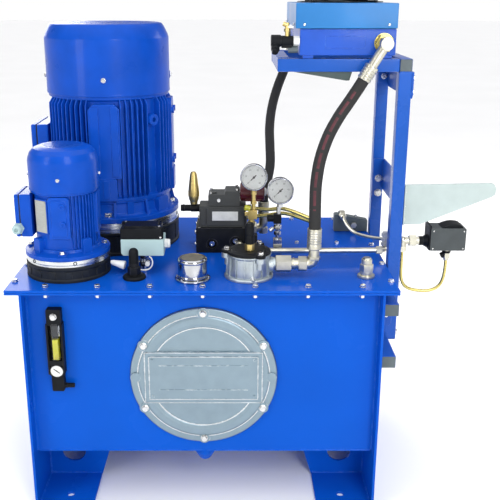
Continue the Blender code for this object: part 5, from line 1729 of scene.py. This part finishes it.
def frame_plates():
    """The gussets, plates and flaps bolted to the posts, and the tab on the tank."""
    solids, screws = [], []
    for node in ("frame_rail_upper", "frame_rail_lower"):
        for y in (0.2, 0.485):
            screws += bolt((POST_FACE, y, centre(node).z), 0.0082, RIGHT)
    gusset = 0.005
    for y in (0.188, 0.473):
        outline = [(y, 0.469), (y + 0.024, 0.469), (y + 0.024, 0.416), (y + 0.017, 0.407), (y + 0.007, 0.407)]
        outline += [(y, 0.416)]
        solids.append(side_plate(outline, gusset, ARM_X + gusset))
        for z in (0.422, 0.454):
            screws += bolt((ARM_X + gusset, y + 0.012, z), 0.0062, RIGHT)
    front, back, cut = 0.2152, 0.4699, 0.012
    for low, high, flap_low, places, size in ((0.128, 0.212, 0.1, (0.1157, 0.1568), 0.01),
                                              (0.408, 0.4685, 0.416, (0.4335,), 0.0075)):
        outline = [(front, low + cut), (front + cut, low), (back - cut, low), (back, low + cut)]
        outline += [(back, high - cut), (back - cut, high), (front + cut, high), (front, high - cut)]
        solids.append(side_plate(outline, 0.004, POST_FACE))
        flap = rounded_box_outline((0.4545, flap_low), (POST_FACE - 0.0035, high - 0.001), 0.004)
        solids.append(wall(flap, 0.4648, 0.4698))
        for z in places:
            screws += bolt((0.47, 0.4648, z), size, FRONT)
    tab = [(0.4225, -0.072), (0.448, -0.072), (0.448, -0.112), (0.444, -0.119), (0.4225, -0.119)]
    solids.append(wall(tab, 0.08, 0.085))
    screws += bolt((0.435, 0.0798, -0.09), 0.006, FRONT)
    return solids, screws


def cooler_frame():
    """Square tubes with end caps, the plates on them, and the pale sheet arm."""
    tubes, caps = frame_tubes()
    plates, screws = frame_plates()
    piece("cooler_frame_tubes", [(frame_paint(), tubes + plates), (cap_grey(), caps), (steel(), screws)],
          replaces=("frame_rail_upper", "frame_rail_lower", "frame_post_front", "frame_post_rear",
                    "frame_top"))

    outline = [(ARM_X, 0.1), (0.53, 0.101), (0.7, 0.17), (0.707, 0.176), (0.709, 0.19), (0.703, 0.201)]
    outline += [(0.697, 0.204), (ARM_X, 0.2)]
    sheet = [wall(outline, 0.197, 0.202), box((ARM_X, 0.184, 0.102), (ARM_X + 0.0032, 0.202, 0.199))]
    rivets = [turned(disc(0.0038, 0, 0.0022), (ARM_X + 0.0032, 0.19, z), RIGHT, 24, 0.001)
              for z in (0.115, 0.15, 0.185)]
    piece("sheet_arm_plate", [(galvanised(), sheet), (steel(), rivets)],
          replaces=("sheet_arm",))


def oil_port(x, height, face, mouth, ends, radius, side):
    """A cooler port: its hexagon and ring, the bent stem of a hose end and its crimped ferrule.

    side is -1 at the front and 1 at the back; ends are the ferrule's two ends.
    """
    waist, end = Vector(ends[0]), Vector(ends[1])
    along = (end - waist).normalized()
    axis, out = (x, face, height), (0, side, 0)
    nut = stack(axis, out, (1.27 * radius, 0, 0.019, 6, 0.0014), (1.35 * radius, 0, 0.003, 48))
    stem = [rod(0.92 * radius, (x, face + side * 0.018, height), (x, mouth, height), 40, 0.002)]
    turn = Vector((x, mouth - side * 0.0145, height))
    bend = [turn - Vector((0, side * 0.006, 0)), turn, turn.lerp(waist, 0.33) + Vector((0, 0, -0.0005))]
    bend += [turn.lerp(waist, 0.66), waist, waist + 0.004 * along]
    stem.append(bent_pipe(bend, 0.7 * radius, 32))
    length = (end - waist).length
    slim = 0.95 * radius
    groove = ((radius, 0), (slim, 0.03 * length), (slim, 0.09 * length), (radius, 0.12 * length))
    crimp = ferrule([share * length for share in (0.2, 0.38, 0.56, 0.74)], groove,
                    [(0.93 * radius, 0), (radius, 0.0014), (radius, 0.1 * length)],
                    [(radius, 0.97 * length), (0.96 * radius, length)], 0.55 * radius)
    return nut, [*stem, turned(crimp, waist, along, 48, 0.0004)]


CORE_LOW, CORE_HIGH = (0.2217, 0.185, 0.506), (0.4424, 0.5, 0.566)


def cooler_block():
    """The cooler's two tanks and side sheets, its fins, and the hose ends in its ports."""
    (left, front, bottom), (right, back, top) = CORE_LOW, CORE_HIGH
    tanks = [box((left, front, bottom), (right, front + 0.045, top), 0.003)]
    tanks.append(box((left, back - 0.045, bottom), (right, back, top), 0.003))
    for x in (left + 0.001, right - 0.005):
        tanks.append(box((x, front + 0.044, bottom + 0.003), (x + 0.004, back - 0.044, top - 0.003), 0.0006))
    low_x, low_z, high_x, high_z, line = 0.28, bottom + 0.016, 0.372, top - 0.016, 0.0012
    border = ((low_x, low_z, high_x, low_z + line), (low_x, high_z - line, high_x, high_z),
              (low_x, low_z, low_x + line, high_z), (high_x - line, low_z, high_x, high_z))
    for face, side in ((front, -1), (back, 1)):
        low_y, high_y = sorted((face - side * 0.001, face + side * 0.0007))
        for x1, z1, x2, z2 in border:
            tanks.append(box((x1, low_y, z1), (x2, high_y, z2), 0.0003))
        low_y, high_y = sorted((face, face + side * 0.0012))
        tanks.append(box((left + 0.004, low_y, top - 0.005), (right - 0.004, high_y, top - 0.002), 0.0005))
    for x in (left + 0.02, right - 0.02):
        for y in (front + 0.015, back - 0.015):
            tanks.append(box((x - 0.012, y - 0.012, 0.4993), (x + 0.012, y + 0.012, bottom + 0.002), 0.001))
    fins = []
    for step in range(30):
        x = left + 0.01 + 0.007 * step
        fins.append(box((x, front + 0.044, bottom + 0.006), (x + 0.0026, back - 0.044, top - 0.005), 0.0004))
    for step in range(44):
        y = front + 0.047 + 0.0051 * step
        fins.append(box((left + 0.006, y, bottom + 0.008), (right - 0.006, y + 0.0008, top - 0.007), 0))
    front_nut, front_stem = oil_port(0.414, 0.5345, front, 0.1375, FRONT_FERRULE, 0.0165, -1)
    rear_nut, rear_stem = oil_port(0.236, 0.535, back, 0.545, REAR_FERRULE, 0.015, 1)
    piece("cooler_block", [(cooler_paint(), tanks), (dark_fins(), fins),
                           (yellow_zinc(), front_nut + rear_nut), (zinc(), front_stem + rear_stem)],
          replaces=("cooler_core",))


def cooler_hood(x, y):
    """The shroud over the core, open at the top in a round mouth for the fan."""
    low, high = span("cooler_shroud")
    room = box(low + Vector((0.002, 0.002, -0.01)), high - Vector((0.002, 0.002, 0.002)), 0)
    mouth = stack((x, y, high.z), UP, (0.098, -0.02, 0.01, 96, 0))
    solids = [carved(box(low, high, 0.002), room, *mouth)]
    solids.append(turned(ring(0.0965, 0.0985, 0.572, 0.6215), (x, y, 0), UP, 96, 0.0006))
    height, size = low.z + 0.009, 0.0034
    screws = []
    for face, aim in ((low.y, FRONT), (high.y, BACK)):
        for screw_x in (low.x + 0.02, high.x - 0.02):
            screws += socket_screw((screw_x, face, height), size, aim)
    for face, aim in ((low.x, LEFT), (high.x, RIGHT)):
        for screw_y in (low.y + 0.035, high.y - 0.035):
            screws += socket_screw((face, screw_y, height), size, aim)
    piece("cooler_hood", [(shroud_paint_sky_reflection(), solids), (steel(), screws)],
          replaces=("cooler_shroud",))


def cooler_motor(x, y):
    """The fan's guard of rings and spokes, and its ribbed motor with a small terminal box."""
    at = (x, y, 0)
    guard = []
    for radius in (0.024, 0.04, 0.056, 0.072, 0.088, 0.103):
        guard.append(turned(ring(radius - 0.0011, radius + 0.0011, 0.6229, 0.6251), at, UP, 72))
    for degrees in range(45, 360, 90):
        spoke = [on_circle(at, reach, degrees, 0.6262) for reach in (0.01, 0.1055)]
        guard.append(rod(0.0016, *spoke, 12, 0.0004))
        guard += stack(on_circle(at, 0.105, degrees, 0), UP, (0.0055, 0.6223, 0.628, 20))
    body = [(0, 0.572), (0.0058, 0.572), (0.0058, 0.618), (0.042, 0.618), (0.045, 0.622), (0.048, 0.626)]
    body += [(0.048, 0.633), (0.0465, 0.6345), (0.0465, 0.69), (0.048, 0.6915), (0.048, 0.699)]
    body += [(0.044, 0.708), (0.04, 0.712), (0, 0.712)]
    shells = [turned(body, at, UP, 72)]
    for step in range(26):
        fin = box((-0.0008, -0.048, 0.637), (0.0008, -0.0455, 0.688), 0.0003)
        shells += round_motor([fin], at, 360 * step / 26)
    shells.append(box((x + 0.01, y - 0.09, 0.6285), (x + 0.076, y - 0.036, 0.66), 0.0025))
    shells.append(box((x + 0.008, y - 0.092, 0.6606), (x + 0.078, y - 0.034, 0.672), 0.003))
    heads = []
    for screw_x in (x + 0.015, x + 0.071):
        for screw_y in (y - 0.085, y - 0.041):
            heads += socket_screw((screw_x, screw_y, 0.6712), 0.0028)
    gland = stack((x, y - 0.062, 0.645), RIGHT, (0.008, 0.076, 0.088, 6))
    piece("cooler_motor", [(switch_body_black(), shells), (steel(), heads), (phosphate(), guard),
                           (black_plastic(), gland)],
          replaces=("cooler_fan_motor",))


def cooler_thermostat():
    """A black thermostat with its plug at the front tank's left, and the stay under the tank."""
    y, z, joint_x = 0.19, 0.5385, 0.193
    body = stack((0, y, z), RIGHT, (0.0118, 0.162, 0.207, 40, 0.0012), (0.0138, 0.156, 0.179, 40, 0.0022))
    body.append(rod(0.01, (0.166, y, 0.53), (0.166, 0.176, 0.519), 32, 0.002))
    body.append(rod(0.0075, (0.165, 0.178, 0.52), (0.165, 0.17, 0.514), 24, 0.001))
    body.append(box((0.18, 0.182, 0.523), (0.204, 0.198, 0.53), 0.0015))
    nuts = stack((0, y, z), RIGHT, (0.0112, 0.2075, 0.2216, 6, 0.001))
    hexes = stack((0, y, 0.52), RIGHT, (0.0085, 0.196, 0.218, 6))
    brassy = stack((joint_x, y, 0), UP, (0.005, 0.549, 0.579, 28), (0.0075, 0.559, 0.566, 6))
    brassy.append(rod(0.0052, (joint_x, y, 0.573), (0.183, y, 0.577), 24))
    silver = [rod(0.0052, (0.195, y, 0.57), (0.207, y, 0.569), 6)]
    piece("cooler_thermostat", [(black_plastic(), body), (white_nylon(), nuts), (cap_grey(), hexes),
                                (brass(), brassy), (steel(), silver)])
    # The stay's dark colour is painted shade from the cooler above it.
    stay = [(0.206, 0.469), (0.346, 0.469), (0.34, 0.449), (0.333, 0.4485)]
    piece("cooler_stay", [(stay_painted_shade(), [wall(stay, 0.195, 0.198, 0.0006)])])


def cooler():
    """An air-oil cooler lying on its frame: two tanks, a finned core, a shroud and a fan."""
    x, y, _ = centre("cooler_fan")
    cooler_block()
    cooler_hood(x, y)
    cooler_motor(x, y)
    cooler_thermostat()


# Pieces hidden inside


def bellhousings():
    """Below each motor: the bellhousing that hangs through the lid."""
    sizes = (("large", 0.09, 0.102, 0.0598, 0.0853, -0.1, 0.03),
             ("small", 0.046, 0.054, 0.0374, 0.0528, -0.06, 0.018))
    for size, bore, tube, bottom, top, depth, step in sizes:
        low, high = span(size + "_damping_ring")
        x, y, _ = (low + high) / 2
        outer = (high.x - low.x) / 2
        at = (x, y, 0)
        edge_z = bottom + 0.35 * (top - bottom)
        profile = [(bore, top), (outer, top), (outer, edge_z + 0.001), (outer - 0.0022, edge_z)]
        profile += [(outer - 0.0022, bottom), (tube, bottom), (tube, depth), (step, depth)]
        profile += [(step, depth + 0.012), (bore, depth + 0.012)]
        solids = [turned(profile, at, UP, 128)]
        outline = [(tube - 0.002, depth + 0.01), (tube + 0.0008, depth + 0.01), (tube + 0.0008, -0.01)]
        outline += [(tube - 0.002, -0.01)]
        head = [(0, 0.0002), (0.0026, 0.0002), (0.0026, 0.001), (0.0046, 0.001), (0.0046, -0.002)]
        head += [(0, -0.002)]
        screws = []
        for degrees in range(20, 380, 60):
            place = on_circle(at, outer - 0.0004, degrees, (edge_z + top) / 2)
            screws.append(turned(head, place, outwards(degrees), 24, 0.0002))
            solids += rib(outline, 0.004, at, degrees + 70)
        piece(size + "_bell", [(machined_aluminium_and_highlight(), solids), (phosphate(), screws)],
              replaces=(size + "_bellhousing",))


def pumps():
    """The pump on each bellhousing, its suction pipe and its strainer."""
    wires = 26
    for size, spigot, body, pipe_radius, strainer, levels in (
            ("large", 0.028, 0.072, 0.02, 0.045, (-0.088, -0.1003, -0.25, -0.33, -0.415)),
            ("small", 0.016, 0.04, 0.012, 0.03, (-0.052, -0.0603, -0.16, -0.33, -0.415))):
        x, y, _ = centre(size + "_pump")
        at = (x, y, 0)
        top, shoulder, base, neck, foot = levels
        third = (shoulder - base) / 3
        profile = [(0, top), (spigot, top), (spigot, shoulder), (body, shoulder), (body, shoulder - third)]
        profile += [(0.96 * body, shoulder - third - 0.001), (0.96 * body, base + third)]
        profile += [(body, base + third - 0.001), (body, base), (0, base)]
        screws = bolt_circle(at, 0.78 * body, 45, 4, base + 0.0001, 0.1 * body, DOWN)
        suction = turned(disc(pipe_radius, neck - 0.002, base + 0.004), at, UP, 40)
        mesh = []
        for wire in range(wires):
            z = foot + 0.006 + (neck - foot - 0.014) * wire / (wires - 1)
            mesh.append(turned(ring(0.9 * strainer, 0.98 * strainer, z, z + 0.0018), at, UP, 48, 0.0004))
        mesh.append(turned(disc(0.9 * strainer, foot + 0.004, neck - 0.004), at, UP, 48))
        ends = [turned(disc(strainer, foot, foot + 0.006), at, UP, 48)]
        ends.append(turned(disc(strainer, neck - 0.008, neck), at, UP, 48))
        iron = turned(profile, at, UP, 64, 0.002)
        piece(size + "_pump_set", [(valve_grey(), [iron]), (steel(), screws + mesh), (zinc(), [suction]),
                                   (black_plastic(), ends)],
              replaces=(size + "_pump",))


def rotor(size, shaft, hub, core, levels):
    """A motor's shaft with its coupling hub and its stacked core."""
    end, hub_low, hub_high, core_low, core_high, top = levels
    x, y, _ = centre(size + "_motor_fan")
    at = (x, y, 0)
    bar = [turned(disc(shaft, end, top), at, UP, 40), turned(disc(hub, hub_low, hub_high), at, UP, 56, 0.002)]
    count = 24
    pitch = (core_high - core_low) / count
    plates = []
    for step in range(count):
        z = core_low + pitch * step
        plates.append(turned(disc(core, z, z + 0.8 * pitch), at, UP, 56, 0.0004))
    plates.append(turned(disc(0.97 * core, core_low, core_high), at, UP, 56))
    piece(size + "_shaft", [(steel(), bar), (phosphate(), plates)], body=size + "_rotor",
          replaces=(size + "_motor_rotor",))


def fan(node, rider, shaft, hub, low, high, tip, blades, tilt=None):
    """A fan: blades round a hub, upright ones or, with a tilt in degrees, flat ones turned by it."""
    x, y, _ = centre(node)
    solids = [turned(ring(shaft + GAP, hub, low, high), (x, y, 0), UP, 56, 0.0015)]
    for step in range(blades):
        if tilt:
            blade = box((hub - 0.002, -0.021, -0.001), (tip, 0.021, 0.001), 0.0006)
            turn = Matrix.Rotation(math.radians(tilt), 3, "X")
            bmesh.ops.rotate(blade, verts=blade.verts, cent=(0, 0, 0), matrix=turn)
            shift(blade, (0, 0, (low + high) / 2))
        else:
            blade = box((hub - 0.002, -0.0012, low + 0.001), (tip, 0.0012, high - 0.001), 0.0006)
        solids += round_motor([blade], (x, y), 360 * step / blades)
    piece(node + "_wheel", [(black_plastic(), solids)], body=rider, replaces=(node,))


def rotors():
    """Both motors' shafts and fans, and the cooler's fan."""
    rotor("large", 0.021, 0.045, 0.088, (-0.02, -0.008, 0.06, 0.165, 0.365, 0.455))
    fan("large_motor_fan", "large_rotor", 0.021, 0.045, 0.415, 0.45, 0.13, 7)
    rotor("small", 0.011, 0.024, 0.042, (-0.015, -0.006, 0.036, 0.095, 0.185, 0.235))
    fan("small_motor_fan", "small_rotor", 0.011, 0.024, 0.214, 0.234, 0.064, 6)
    fan("cooler_fan", "cooler_fan_wheel", 0.006, 0.026, 0.575, 0.605, 0.09, 6, 34)


# Run


camera()
hoses()
studio()
tank()
large_motor()
small_motor()
rubber_rings()
breather()
return_filter()
level_switch()
level_switch_sleeve()
temperature_sensor()
valve_stack()
gauges()
return_line()
pressure_line()
lid_plug()
pressure_switch()
drain_loop()
cooler_frame()
cooler()
bellhousings()
pumps()
rotors()
